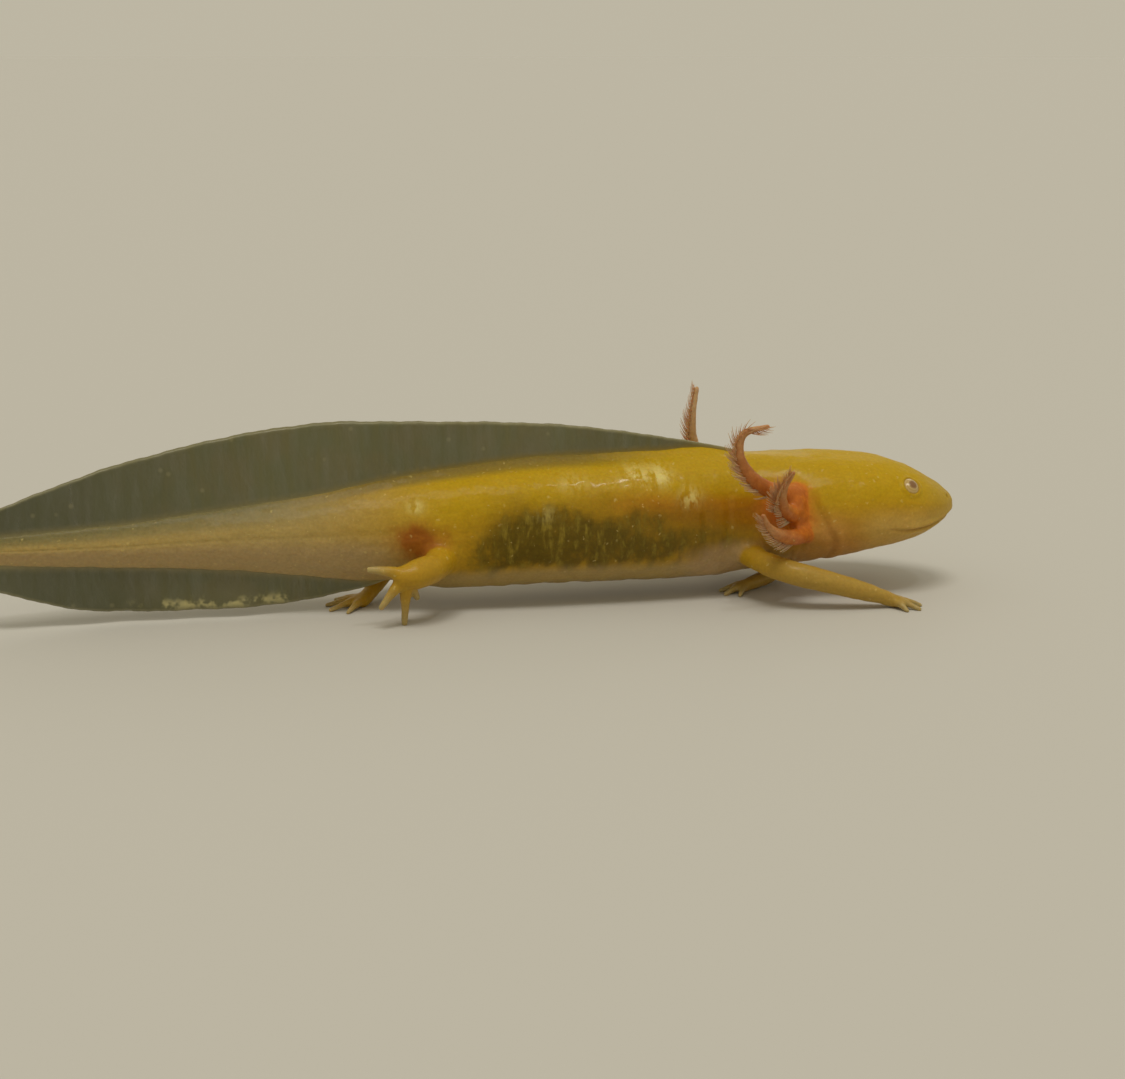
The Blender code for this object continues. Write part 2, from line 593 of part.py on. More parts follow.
def main():
    for old in list(bpy.data.objects):
        bpy.data.objects.remove(old)
    skin = whole_body(GAP)
    floor = floor_block()
    eyes, sockets = make_eyes()
    bpy.context.view_layer.update()
    for eye in eyes:
        eye.data.materials.append(material("eye"))
        eye.data.shade_smooth()
    trunk = body_places(TAIL_X + GAP / 2, HEAD_X - GAP / 2, trunk_xs())
    flesh = [make_head(sockets)]
    flesh.append(loft("torso", [body_ring(place) for place in trunk]))
    flesh.append(loft("tail", [body_ring(place, sides=TAIL_SIDES) for place in tail_places()]))
    flesh += [make_leg(name, skin, floor) for name in LEGS]
    fins = make_fins()
    draw = random.Random(SEED)
    gills = [make_gill(name, skin, draw) for name in GILLS]
    for helper in (skin, floor):
        bpy.data.objects.remove(helper)
    for kind, group in (("skin", flesh), ("fin", fins), ("gill", gills)):
        for made in group:
            made.data.materials.clear()
            made.data.materials.append(material(kind))
            made.data.shade_smooth()
    centre_on_box()


def centre_on_box():
    """Moves everything so that the middle of the whole box stands over the origin."""
    bpy.context.view_layer.update()
    nodes = [made for made in bpy.data.objects if made.type == "MESH"]
    corners = np.array([made.matrix_world @ Vector(c) for made in nodes for c in made.bound_box])
    middle = (corners.min(axis=0) + corners.max(axis=0)) / 2
    for made in nodes:
        made.location -= Vector((middle[0], middle[1], 0))


main()
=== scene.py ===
import math
from functools import partial

import bmesh
import bpy
import numpy as np
from mathutils import Matrix, Vector


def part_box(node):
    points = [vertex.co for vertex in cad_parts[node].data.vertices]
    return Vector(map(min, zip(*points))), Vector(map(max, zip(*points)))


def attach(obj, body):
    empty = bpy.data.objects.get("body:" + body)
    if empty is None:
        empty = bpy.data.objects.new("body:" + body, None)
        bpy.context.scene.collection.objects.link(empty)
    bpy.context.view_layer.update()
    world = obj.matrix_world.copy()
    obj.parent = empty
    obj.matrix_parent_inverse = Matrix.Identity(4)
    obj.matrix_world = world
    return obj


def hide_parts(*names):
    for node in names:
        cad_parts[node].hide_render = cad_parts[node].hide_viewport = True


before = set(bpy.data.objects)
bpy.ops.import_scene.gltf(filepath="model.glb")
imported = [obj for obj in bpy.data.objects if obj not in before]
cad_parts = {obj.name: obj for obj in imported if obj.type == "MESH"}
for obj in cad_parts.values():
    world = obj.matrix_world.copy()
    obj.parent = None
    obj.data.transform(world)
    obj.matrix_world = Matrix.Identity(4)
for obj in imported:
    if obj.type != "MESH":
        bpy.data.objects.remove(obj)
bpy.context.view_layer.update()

# Looks of a young albino axolotl, a life-size still model standing on its four feet.
# Shapes are worked out in millimetres with the trunk along X and the floor at Z = 0,
# then moved into the frame, whose place is read from two of its solids.

mm = 0.001
cadGap = 0.3  # between neighbouring solids
tailX = -20.0  # the torso's solid starts half a gap ahead of this
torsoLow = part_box("torso")[0]
finLow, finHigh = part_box("back_fin")
frameShift = np.array((torsoLow.x / mm - tailX - cadGap / 2, (finLow.y + finHigh.y) / 2 / mm, 0.0))


def toLinear(code):
    # sRGB hex to the linear colour that a shader takes
    parts = [int(code[i : i + 2], 16) / 255 for i in (1, 3, 5)]
    return (*[c / 12.92 if c <= 0.04045 else ((c + 0.055) / 1.055) ** 2.4 for c in parts], 1.0)


def perMm(size):
    # texture scale on Object coordinates, in metres, for a feature of this many millimetres
    return 1.0 / (size * mm)


def setInputs(node, inputs):
    # an input takes a value, a socket, or a node, whose first live output is linked
    for key, value in inputs.items():
        if isinstance(value, bpy.types.Node):
            value = next(socket for socket in value.outputs if socket.enabled)
        if isinstance(value, bpy.types.NodeSocket):
            node.id_data.links.new(value, node.inputs[key])
        else:
            node.inputs[key].default_value = value


def addNode(tree, kind, inputs=None, **settings):
    # one node with its settings and links
    made = tree.nodes.new(kind)
    for name, value in settings.items():
        setattr(made, name, value)
    setInputs(made, inputs or {})
    return made


def newMaterial(name):
    made = bpy.data.materials.new(name)
    made.use_nodes = True
    return made, made.node_tree.nodes["Principled BSDF"], partial(addNode, made.node_tree)


def readPiece(add, masks):
    # the place on the piece, and the masks painted on it by name
    place = add("ShaderNodeTexCoord").outputs["Object"]
    names = masks.split()
    return place, {name: add("ShaderNodeAttribute", attribute_name=name).outputs["Fac"] for name in names}


def overlay(add, colour, layers, mask):
    # colours laid over one another, each with its strength, where the mask of the same name is
    for name, (code, strength) in layers.items():
        part = add("ShaderNodeMath", {0: mask[name], 1: strength}, operation="MULTIPLY", use_clamp=True)
        colour = add("ShaderNodeMix", {0: part, 6: colour, 7: toLinear(code)}, data_type="RGBA")
    return colour


smooth = {"interpolation_type": "SMOOTHSTEP"}  # for a range that eases in and out


def smoothStep(low, high, value):
    u = np.clip((value - low) / (high - low), 0, 1)
    return u * u * (3 - 2 * u)


def bell(value, width):
    return np.exp(-((value / width) ** 2))


# The body

body = {
    # x, back line, underside, half width, height of the widest point as a share, squareness
    "stations": [
        (-72.0, 9.45, 9.45, 0.0, 0.50, 2.0),  # end of the tail's muscle
        (-71.0, 9.80, 9.05, 0.32, 0.50, 2.0),
        (-62.0, 10.0, 8.00, 0.95, 0.50, 2.0),
        (-50.8, 10.45, 7.20, 1.50, 0.50, 2.0),
        (-39.3, 11.60, 6.25, 2.20, 0.50, 2.0),
        (-27.5, 12.95, 4.75, 3.20, 0.50, 2.0),
        (-20.0, 14.3, 3.50, 4.10, 0.48, 2.0),  # vent
        (-13.0, 15.2, 2.10, 5.10, 0.46, 2.1),  # hips
        (-3.0, 16.05, 2.15, 6.10, 0.45, 2.1),
        (8.0, 16.25, 1.95, 6.40, 0.45, 2.1),  # deepest part of the belly
        (16.3, 16.35, 1.90, 5.90, 0.45, 2.1),
        (21.0, 16.25, 2.40, 5.60, 0.45, 2.1),  # shoulders
        (26.0, 16.15, 3.15, 7.00, 0.43, 2.2),  # roots of the gills
        (31.0, 16.05, 3.95, 8.00, 0.41, 2.3),  # widest part of the head
        (36.0, 15.60, 4.95, 7.65, 0.41, 2.3),
        (39.8, 14.55, 5.80, 6.60, 0.42, 2.3),  # eyes
        (42.6, 13.15, 6.85, 5.10, 0.44, 2.2),
        (44.5, 11.90, 8.15, 3.30, 0.47, 2.1),  # nostrils
        (45.5, 11.00, 9.30, 1.75, 0.50, 2.0),
        (45.8, 10.25, 10.25, 0.0, 0.50, 2.0),  # tip of the snout
    ],
    "headTurn": (19.0, 27.4, -2.7),  # bends right from this x, over this length, by this much
    "tailTurn": (-40.0, 32.0, -1.3),
    "rings": 300,
    "sides": 84,
    "grooves": 12,  # furrows between the ribs on each flank
    "grooveFirst": -12.2,
    "grooveStep": 2.75,
    "grooveDepth": 0.24,
    "grooveWidth": 0.5,
    "keelHeight": 0.75,
    "keelWidth": 0.85,
}


def eased(rows, places):
    # rows of numbers read on a smooth curve that never swings past a row
    rows = np.asarray(rows, float)
    step = np.diff(rows, axis=0)
    product = step[:-1] * step[1:]
    total = step[:-1] + step[1:]
    inner = np.where(product > 0, 2 * product / np.where(total == 0, 1, total), 0)
    slope = np.vstack([step[:1], inner, step[-1:]])
    places = np.clip(np.atleast_1d(places), 0, len(rows) - 1)
    row = np.minimum(places.astype(int), len(rows) - 2)
    u = (places - row)[:, None]
    return (
        rows[row] * (1 + 2 * u) * (1 - u) ** 2
        + slope[row] * u * (1 - u) ** 2
        + rows[row + 1] * u * u * (3 - 2 * u)
        + slope[row + 1] * u * u * (u - 1)
    )


def fineTable(rows):
    return eased(rows, np.linspace(0, len(rows) - 1, 60 * len(rows)))


def readTable(fine, x):
    # the other columns of a table at x
    return [np.interp(x, fine[:, 0], fine[:, k]) for k in range(1, fine.shape[1])]


stationCurve = fineTable(body["stations"])


def middleY(x):
    # how far the line of the back stands from Y = 0
    y = np.zeros_like(np.asarray(x, float))
    for start, length, move in (body["headTurn"], body["tailTurn"]):
        share = (x - start) / math.copysign(length, start)
        y = y + move * np.maximum(share, 0.0) ** 1.5
    return y


def costalDepth(x):
    centres = body["grooveFirst"] + body["grooveStep"] * np.arange(body["grooves"])
    return body["grooveDepth"] * bell(np.asarray(x)[..., None] - centres, body["grooveWidth"]).sum(axis=-1)


def ringPoints(row, angles):
    # points round the body at one station, from the left side over the back
    x, top, low, half, share, square = row
    centre = low + share * (top - low)
    c, s = np.cos(angles), np.sin(angles)
    wide = np.sign(c) * np.abs(c) ** (2 / square)
    high = np.sign(s) * np.abs(s) ** (2 / square)
    reach = half - costalDepth(x) * c * c * bell(s - 0.05, 0.75)
    rise = np.where(s > 0, top - centre, centre - low)
    return np.column_stack((np.full(len(c), x), middleY(x) + reach * wide, centre + rise * high))


def skinRound(x, angle, sunk=0.0):
    # a point of the skin at x and an angle round the body, or sunk under the skin there
    point = ringPoints((x, *readTable(stationCurve, x)), np.array([angle]))[0]
    ahead = ringPoints((x + 0.2, *readTable(stationCurve, x + 0.2)), np.array([angle]))[0] - point
    sideways = ringPoints((x, *readTable(stationCurve, x)), np.array([angle + 0.02]))[0] - point
    normal = np.cross(sideways, ahead)
    return point - sunk * normal / np.linalg.norm(normal)


def skinAt(x, z, side, sunk=0.0):
    # a point of the skin at x and height z, on the left (1) or right (-1)
    top, low, _, share, square = readTable(stationCurve, x)
    centre = low + share * (top - low)
    rise = top - centre if z > centre else centre - low
    high = min(abs(z - centre) / rise, 1.0)
    angle = math.asin(math.copysign(high ** (square / 2), z - centre))
    return skinRound(x, angle if side > 0 else math.pi - angle, sunk)


def closeRings(rings):
    # points and faces of a closed skin over rings; a ring of one point is a pole
    rings = [np.atleast_2d(np.asarray(ring, float)) for ring in rings]
    if len(rings[0]) > 1:
        rings.insert(0, rings[0].mean(axis=0)[None])
    if len(rings[-1]) > 1:
        rings.append(rings[-1].mean(axis=0)[None])
    starts = np.cumsum([0] + [len(ring) for ring in rings])
    faces = []
    for k in range(len(rings) - 1):
        a, b = int(starts[k]), int(starts[k + 1])
        m, n = len(rings[k]), len(rings[k + 1])
        for i in range(max(m, n)):
            j = (i + 1) % max(m, n)
            if m == 1:
                faces.append((a, b + i, b + j))
            elif n == 1:
                faces.append((a + i, b, a + j))
            else:
                faces.append((a + i, b + i, b + j, a + j))
    return np.vstack(rings), faces


def curveThrough(points, places):
    # points on a Catmull-Rom curve through the given ones
    points = np.asarray(points, float)
    ends = np.vstack([2 * points[0] - points[1], points, 2 * points[-1] - points[-2]])
    row = np.minimum(places.astype(int), len(points) - 2)
    u = (places - row)[:, None]
    a, b, c, d = (ends[row + k] for k in range(4))
    return 0.5 * (2 * b + (c - a) * u + (2 * a - 5 * b + 4 * c - d) * u**2 + (3 * b - a - 3 * c + d) * u**3)


def tubeRings(points, radii, sides, steps, wide=1.0, swell=None):
    # rings of a tube with a rounded tip; wide stretches it sideways, swell changes its radius on the way
    count = (len(points) - 1) * steps + 1
    line = curveThrough(points, np.linspace(0, len(points) - 1, count))
    width = eased(np.asarray(radii, float)[:, None], np.linspace(0, len(radii) - 1, count))[:, 0]
    if swell is not None:
        width = width * swell(np.linspace(0, 1, count))
    tangent = np.gradient(line, axis=0)
    tangent /= np.linalg.norm(tangent, axis=1)[:, None]
    across = np.cross(tangent[0], (0, 0, 1))
    turn = 2 * math.pi * np.arange(sides) / sides
    rings = []
    for k in range(count):
        across = across - tangent[k] * (across @ tangent[k])
        across /= np.linalg.norm(across)
        up = np.cross(across, tangent[k])
        around = wide * np.outer(np.cos(turn), across) + np.outer(np.sin(turn), up)
        rings.append(line[k] + width[k] * around)
    for reach, size in ((0.45, 0.88), (0.8, 0.55), (0.98, 0.0)):
        middle = line[-1] + tangent[-1] * width[-1] * reach
        rings.append(middle + (rings[count - 1] - line[-1]) * size if size else middle)
    return rings


# Gills and legs, on the paths that the solids have

gills = {
    "paths": {
        "right_gill_1": [(27.0, -5.0, 12.4), (24.9, -6.9, 12.6), (21.9, -8.2, 13.5), (19.3, -9.1, 15.4),
                         (17.8, -9.8, 18.0), (18.1, -10.4, 20.4), (20.6, -11.1, 21.3)],
        "right_gill_2": [(27.6, -5.4, 10.6), (25.7, -7.5, 10.3), (23.7, -9.4, 11.1), (22.4, -11.1, 12.7),
                         (22.2, -12.5, 14.6), (22.9, -13.5, 16.5)],
        "right_gill_3": [(28.0, -5.6, 8.6), (26.3, -7.8, 8.0), (24.2, -9.8, 8.3), (22.1, -11.4, 9.1),
                         (20.5, -12.6, 10.3), (19.6, -13.4, 11.8)],
        "left_gill_1": [(27.2, 3.9, 12.3), (24.8, 6.0, 12.4), (21.0, 7.4, 12.9), (18.3, 7.3, 14.2),
                        (17.1, 6.8, 16.8), (17.0, 6.4, 19.7), (17.5, 6.5, 22.7)],
        "left_gill_2": [(27.8, 4.3, 10.8), (26.0, 6.3, 10.9), (23.6, 8.9, 10.9), (21.4, 11.1, 11.5),
                        (20.3, 12.5, 12.9)],
        "left_gill_3": [(28.2, 4.5, 9.2), (26.5, 6.7, 8.9), (24.2, 9.0, 8.2), (21.6, 11.2, 8.0),
                        (19.7, 12.8, 8.9)],
    },
    "radii": (1.25, 0.78, 0.26),
    "sides": 20,
    # the fleshy base that the three stalks of a side grow from
    "bases": [[(25.6, -5.6, 12.9), (25.2, -7.1, 11.7), (25.4, -7.3, 10.0), (26.1, -6.7, 8.4)],
              [(25.9, 4.7, 12.7), (25.5, 6.2, 11.5), (25.7, 6.4, 9.9), (26.4, 5.8, 8.4)]],
    "baseRadii": (1.0, 1.4, 1.4, 1.0),
    "pale": "left_gill_1",  # the far upper one has less blood in it
}

legs = {
    # from inside the trunk to the palm: x, y, z, radius
    "paths": {
        "right_front_leg": [(20.0, -2.6, 6.4, 1.7), (20.7, -5.4, 5.4, 1.5), (22.4, -8.2, 4.7, 1.35),
                            (24.8, -10.2, 4.1, 1.35), (28.6, -11.1, 3.1, 1.25), (32.0, -11.5, 2.1, 1.08),
                            (34.6, -11.6, 1.25, 0.85), (36.1, -11.8, 0.66, 0.76)],
        "left_front_leg": [(20.0, 2.6, 6.4, 1.7), (20.9, 5.4, 5.5, 1.5), (22.8, 6.6, 4.2, 1.35),
                           (25.2, 5.7, 2.8, 1.2), (26.6, 3.2, 1.75, 1.1), (24.9, 0.5, 1.2, 0.98),
                           (22.5, -1.1, 0.85, 0.8), (20.9, -1.9, 0.62, 0.68)],
        "right_hind_leg": [(-14.4, -2.2, 6.9, 2.0), (-14.7, -4.6, 6.5, 1.8), (-15.6, -6.4, 6.2, 1.65),
                           (-17.0, -7.6, 6.05, 1.65), (-18.2, -8.3, 5.9, 1.6), (-19.4, -8.7, 5.9, 1.25)],
        "left_hind_leg": [(-15.2, 2.2, 7.4, 2.1), (-15.8, 4.9, 6.5, 1.9), (-17.0, 6.9, 5.4, 1.6),
                          (-18.8, 6.5, 3.8, 1.3), (-20.6, 4.2, 2.3, 1.05), (-22.0, 2.3, 1.2, 0.85),
                          (-23.0, 1.0, 0.66, 0.8)],
    },
    "toes": {
        "right_front_leg": [(38.2, -10.5, 0.17), (38.9, -12.1, 0.17), (38.2, -13.7, 0.17),
                            (36.6, -14.0, 0.17)],
        "left_front_leg": [(19.7, -0.1, 0.17), (18.5, -1.4, 0.17), (18.6, -3.1, 0.17), (20.1, -4.0, 0.17)],
        "right_hind_leg": [(-17.8, -6.9, 2.9), (-19.0, -5.5, 0.17), (-19.3, -7.3, 0.17), (-22.0, -9.0, 2.6),
                           (-23.2, -8.9, 6.9)],
        "left_hind_leg": [(-23.7, 4.4, 0.17), (-25.7, 3.9, 0.17), (-26.9, 1.9, 0.17), (-26.7, -0.3, 0.17),
                          (-24.9, -1.7, 0.17)],
    },
    "toeRadii": (0.8, 0.42, 0.23),
    "spreadFoot": "right_hind_leg",  # its toes are spread, with skin drawn out at their roots
    "spreadToeRadii": (1.0, 0.58, 0.3),
    # the skin between the toes' roots: strength, how far from the palm it reaches: none, full
    "web": (0.12, (1.4, 0.8)),
    "spreadWeb": (0.25, (2.2, 1.2)),
    "sides": 24,
    "toeSides": 14,
}


def toeLine(name, tip):
    path = np.array([row[:3] for row in legs["paths"][name]])
    root = path[-1] + 0.25 * (path[-2] - path[-1])
    knuckle = (root + np.array(tip)) / 2 + (0, 0, 0.16)
    return [root, knuckle, np.array(tip)]


def knuckles(share):
    # two joints swell along a toe
    return 1 + 0.07 * bell(share - 0.45, 0.09) + 0.10 * bell(share - 0.97, 0.10)


def fleshShells():
    # closed skins of the body, the gill stalks, the legs and the toes, which overlap at their roots
    shells = []
    angles = 2 * math.pi * np.arange(body["sides"]) / body["sides"] + math.pi / 2
    last = len(body["stations"]) - 1
    places = np.concatenate(([0.0], np.linspace(0.25, last - 0.9, body["rings"]),
                             last - 0.9 * np.linspace(1, 0, 30)[1:] ** 2))
    rows = eased(body["stations"], places)
    rings = [ringPoints(row, angles) for row in rows[1:-1]]
    poles = [(row[0], float(middleY(row[0])), row[1]) for row in (rows[0], rows[-1])]
    shells.append(closeRings([poles[0], *rings, poles[1]]))
    for path in gills["paths"].values():
        shells.append(closeRings(tubeRings(path, gills["radii"], gills["sides"], 8)))
    for path in gills["bases"]:
        shells.append(closeRings(tubeRings(path, gills["baseRadii"], gills["sides"], 8)))
    for name, path in legs["paths"].items():
        radii = [row[3] for row in path]
        shells.append(closeRings(tubeRings([row[:3] for row in path], radii, legs["sides"], 8)))
        toeRadii = legs["spreadToeRadii" if name == legs["spreadFoot"] else "toeRadii"]
        for tip in legs["toes"][name]:
            rings = tubeRings(toeLine(name, tip), toeRadii, legs["toeSides"], 10, swell=knuckles)
            shells.append(closeRings(rings))
    return shells


def meshFrom(name, shells):
    points, faces, start = [], [], 0
    for shellPoints, shellFaces in shells:
        points.append(shellPoints)
        faces += [tuple(v + start for v in face) for face in shellFaces]
        start += len(shellPoints)
    mesh = bpy.data.meshes.new(name)
    mesh.from_pydata(np.vstack(points).tolist(), [], faces)
    return mesh


def addPiece(name, mesh):
    made = bpy.data.objects.new(name, mesh)
    bpy.context.scene.collection.objects.link(made)
    return made


def applied(piece):
    # the mesh that a piece's modifiers make, with the modifiers gone
    graph = bpy.context.evaluated_depsgraph_get()
    made = bpy.data.meshes.new_from_object(piece.evaluated_get(graph))
    piece.modifiers.clear()
    old = piece.data
    piece.data = made
    bpy.data.meshes.remove(old)
    return made


def readRows(items, name):
    # a vector of each vertex
    flat = np.empty(3 * len(items), np.float32)
    items.foreach_get(name, flat)
    return flat.reshape(-1, 3).astype(float)


def pointsOf(mesh):
    return readRows(mesh.vertices, "co")


def setPoints(mesh, points):
    mesh.vertices.foreach_set("co", np.asarray(points, np.float32).ravel())
    mesh.update()


def setMask(mesh, name, values):
    mask = mesh.attributes.new(name, "FLOAT", "POINT")
    mask.data.foreach_set("value", np.asarray(values, np.float32))


def toFrame(piece):
    # from the millimetres of this script to the frame's metres, facing outwards
    mesh = piece.data
    setPoints(mesh, (pointsOf(mesh) + frameShift) * mm)
    work = bmesh.new()
    work.from_mesh(mesh)
    bmesh.ops.recalc_face_normals(work, faces=work.faces)
    work.to_mesh(mesh)
    work.free()
    mesh.shade_smooth()


def nearLine(points, line, reach):
    # for the points within reach of a line: their numbers, distance, share along it and foot on it
    line = np.asarray(line, float)
    near = np.all((points > line.min(axis=0) - reach) & (points < line.max(axis=0) + reach), axis=1)
    which = np.flatnonzero(near)
    chosen = points[which]
    gap = np.full(len(which), 1e9)
    share = np.zeros(len(which))
    foot = np.zeros((len(which), 3))
    for k in range(len(line) - 1):
        step = line[k + 1] - line[k]
        part = np.clip((chosen - line[k]) @ step / (step @ step), 0, 1)
        place = line[k] + part[:, None] * step
        away = np.linalg.norm(chosen - place, axis=1)
        closer = away < gap
        gap[closer] = away[closer]
        share[closer] = (k + part[closer]) / (len(line) - 1)
        foot[closer] = place[closer]
    keep = gap < reach
    return which[keep], gap[keep], share[keep], foot[keep]


def relax(points, edges, weight, rounds):
    # each point with a weight drawn towards the middle of its neighbours
    moving = np.flatnonzero(weight > 0)
    slot = np.full(len(points), -1)
    slot[moving] = np.arange(len(moving))
    own = np.concatenate((edges[:, 0], edges[:, 1]))
    other = np.concatenate((edges[:, 1], edges[:, 0]))
    kept = slot[own] >= 0
    own, other = slot[own[kept]], other[kept]
    count = np.maximum(np.bincount(own, minlength=len(moving)), 1)[:, None]
    pull = 0.5 * weight[moving][:, None]
    points = points.copy()
    for _ in range(rounds):
        total = np.column_stack([np.bincount(own, points[other, k], len(moving)) for k in range(3)])
        points[moving] += pull * (total / count - points[moving])
    return points


def bodyShares(points):
    # height share between underside and back, side share, and how far off the body's own surface
    x = np.clip(points[:, 0], -71.9, 45.75)
    top, low, half, share, _ = readTable(stationCurve, x)
    centre = low + share * (top - low)
    up = points[:, 2] - centre
    rise = np.where(up > 0, top - centre, centre - low)
    side = (points[:, 1] - middleY(x)) / np.maximum(half, 0.05)
    size = np.hypot(side, up / np.maximum(rise, 0.05))
    off = (size - 1) * np.minimum(half, rise)
    return (points[:, 2] - low) / np.maximum(top - low, 0.1), side, off


def waves(points, length, seed, count=14):
    # a smooth random field from -1 to 1 with bumps about this long
    draw = np.random.default_rng(seed)
    total = np.zeros(len(points))
    for _ in range(count):
        way = draw.normal(size=3)
        way *= 2 * math.pi / (length * draw.uniform(0.7, 1.5)) / np.linalg.norm(way)
        total += np.sin(points @ way + draw.uniform(0, 2 * math.pi))
    return total / math.sqrt(count)


face = {
    # x, height of the mouth line
    "mouth": [(36.4, 8.25), (38.6, 7.95), (41.2, 8.1), (43.6, 8.7), (45.4, 9.3)],
    "mouthDepth": 0.30,
    "mouthWidth": 0.17,
    "upperLip": 0.17,
    "lowerLip": 0.09,
    "lipAway": 0.48,  # from the mouth line
    "lipWidth": 0.30,
    "nostrilX": 44.5,
    "nostrilZ": 11.1,
    "nostrilDepth": 0.34,
    "nostrilWidth": 0.19,
    # round ridges: height, radius, width
    "nostrilRim": (0.04, 0.40, 0.14),
    "eyeRim": (0.13, 1.18, 0.22),
    "eyeDip": (-0.03, 1.70, 0.25),
    # the throat fold: degrees round from the throat's middle, x
    "fold": [(0.0, 29.4), (40.0, 29.8), (70.0, 29.8), (90.0, 28.8), (110.0, 27.6), (128.0, 26.6)],
    "foldDepth": 0.14,
    "foldWidth": 0.42,
    "flap": 0.10,
    "eyeX": 39.2,
    "eyeZ": 12.95,
    "eyeRadius": 1.42,
    "eyeSunk": 1.06,
    "eyeHollow": 0.45,  # the skin under the eyeball
}

relief = {
    # mm high, mm long
    "tailMuscle": (0.014, 1.9),
    "neckWrinkles": (0.05, 0.95),
    # mm high, mm long, seed
    "unevenness": (0.035, 3.4, 3),
    "grain": (0.018, 1.3, 5),
    "bellyFolds": (0.05, 1.8, 8),
    "sideFurrow": (0.07, 0.56, 0.035),  # mm deep, height share, width
}


def mouthLine(count=46):
    # points on the skin from the right corner of the mouth round the snout to the left one
    rows = fineTable(face["mouth"])
    xs = np.linspace(face["mouth"][-2][0], 45.78, 400)
    under = readTable(stationCurve, xs)[1]
    front = xs[np.argmax(under > np.interp(xs, rows[:, 0], rows[:, 1]))]
    share = np.linspace(1, 0, count)
    xs = front - (front - face["mouth"][0][0]) * share**2
    zs = np.interp(xs, rows[:, 0], rows[:, 1])
    sides = [[skinAt(x, z, side) for x, z in zip(xs, zs)] for side in (-1, 1)]
    return np.array([*sides[0], *sides[1][-2::-1]])


def foldLine(count=61):
    rows = fineTable(face["fold"])
    turns = np.linspace(-face["fold"][-1][0], face["fold"][-1][0], count)
    xs = np.interp(np.abs(turns), rows[:, 0], rows[:, 1])
    return np.array([skinRound(x, math.radians(turn - 90)) for x, turn in zip(xs, turns)])


def eyeMiddle(side):
    # the eyeball's middle and the way it looks
    middle = skinAt(face["eyeX"], face["eyeZ"], side, face["eyeSunk"])
    surface = skinAt(face["eyeX"], face["eyeZ"], side)
    return middle, (surface - middle) / np.linalg.norm(surface - middle)


def ridge(away, form):
    high, place, wide = form
    return high * bell(away - place, wide)


def bumps(points, form):
    high, long, seed = form
    return high * waves(points, long, seed)


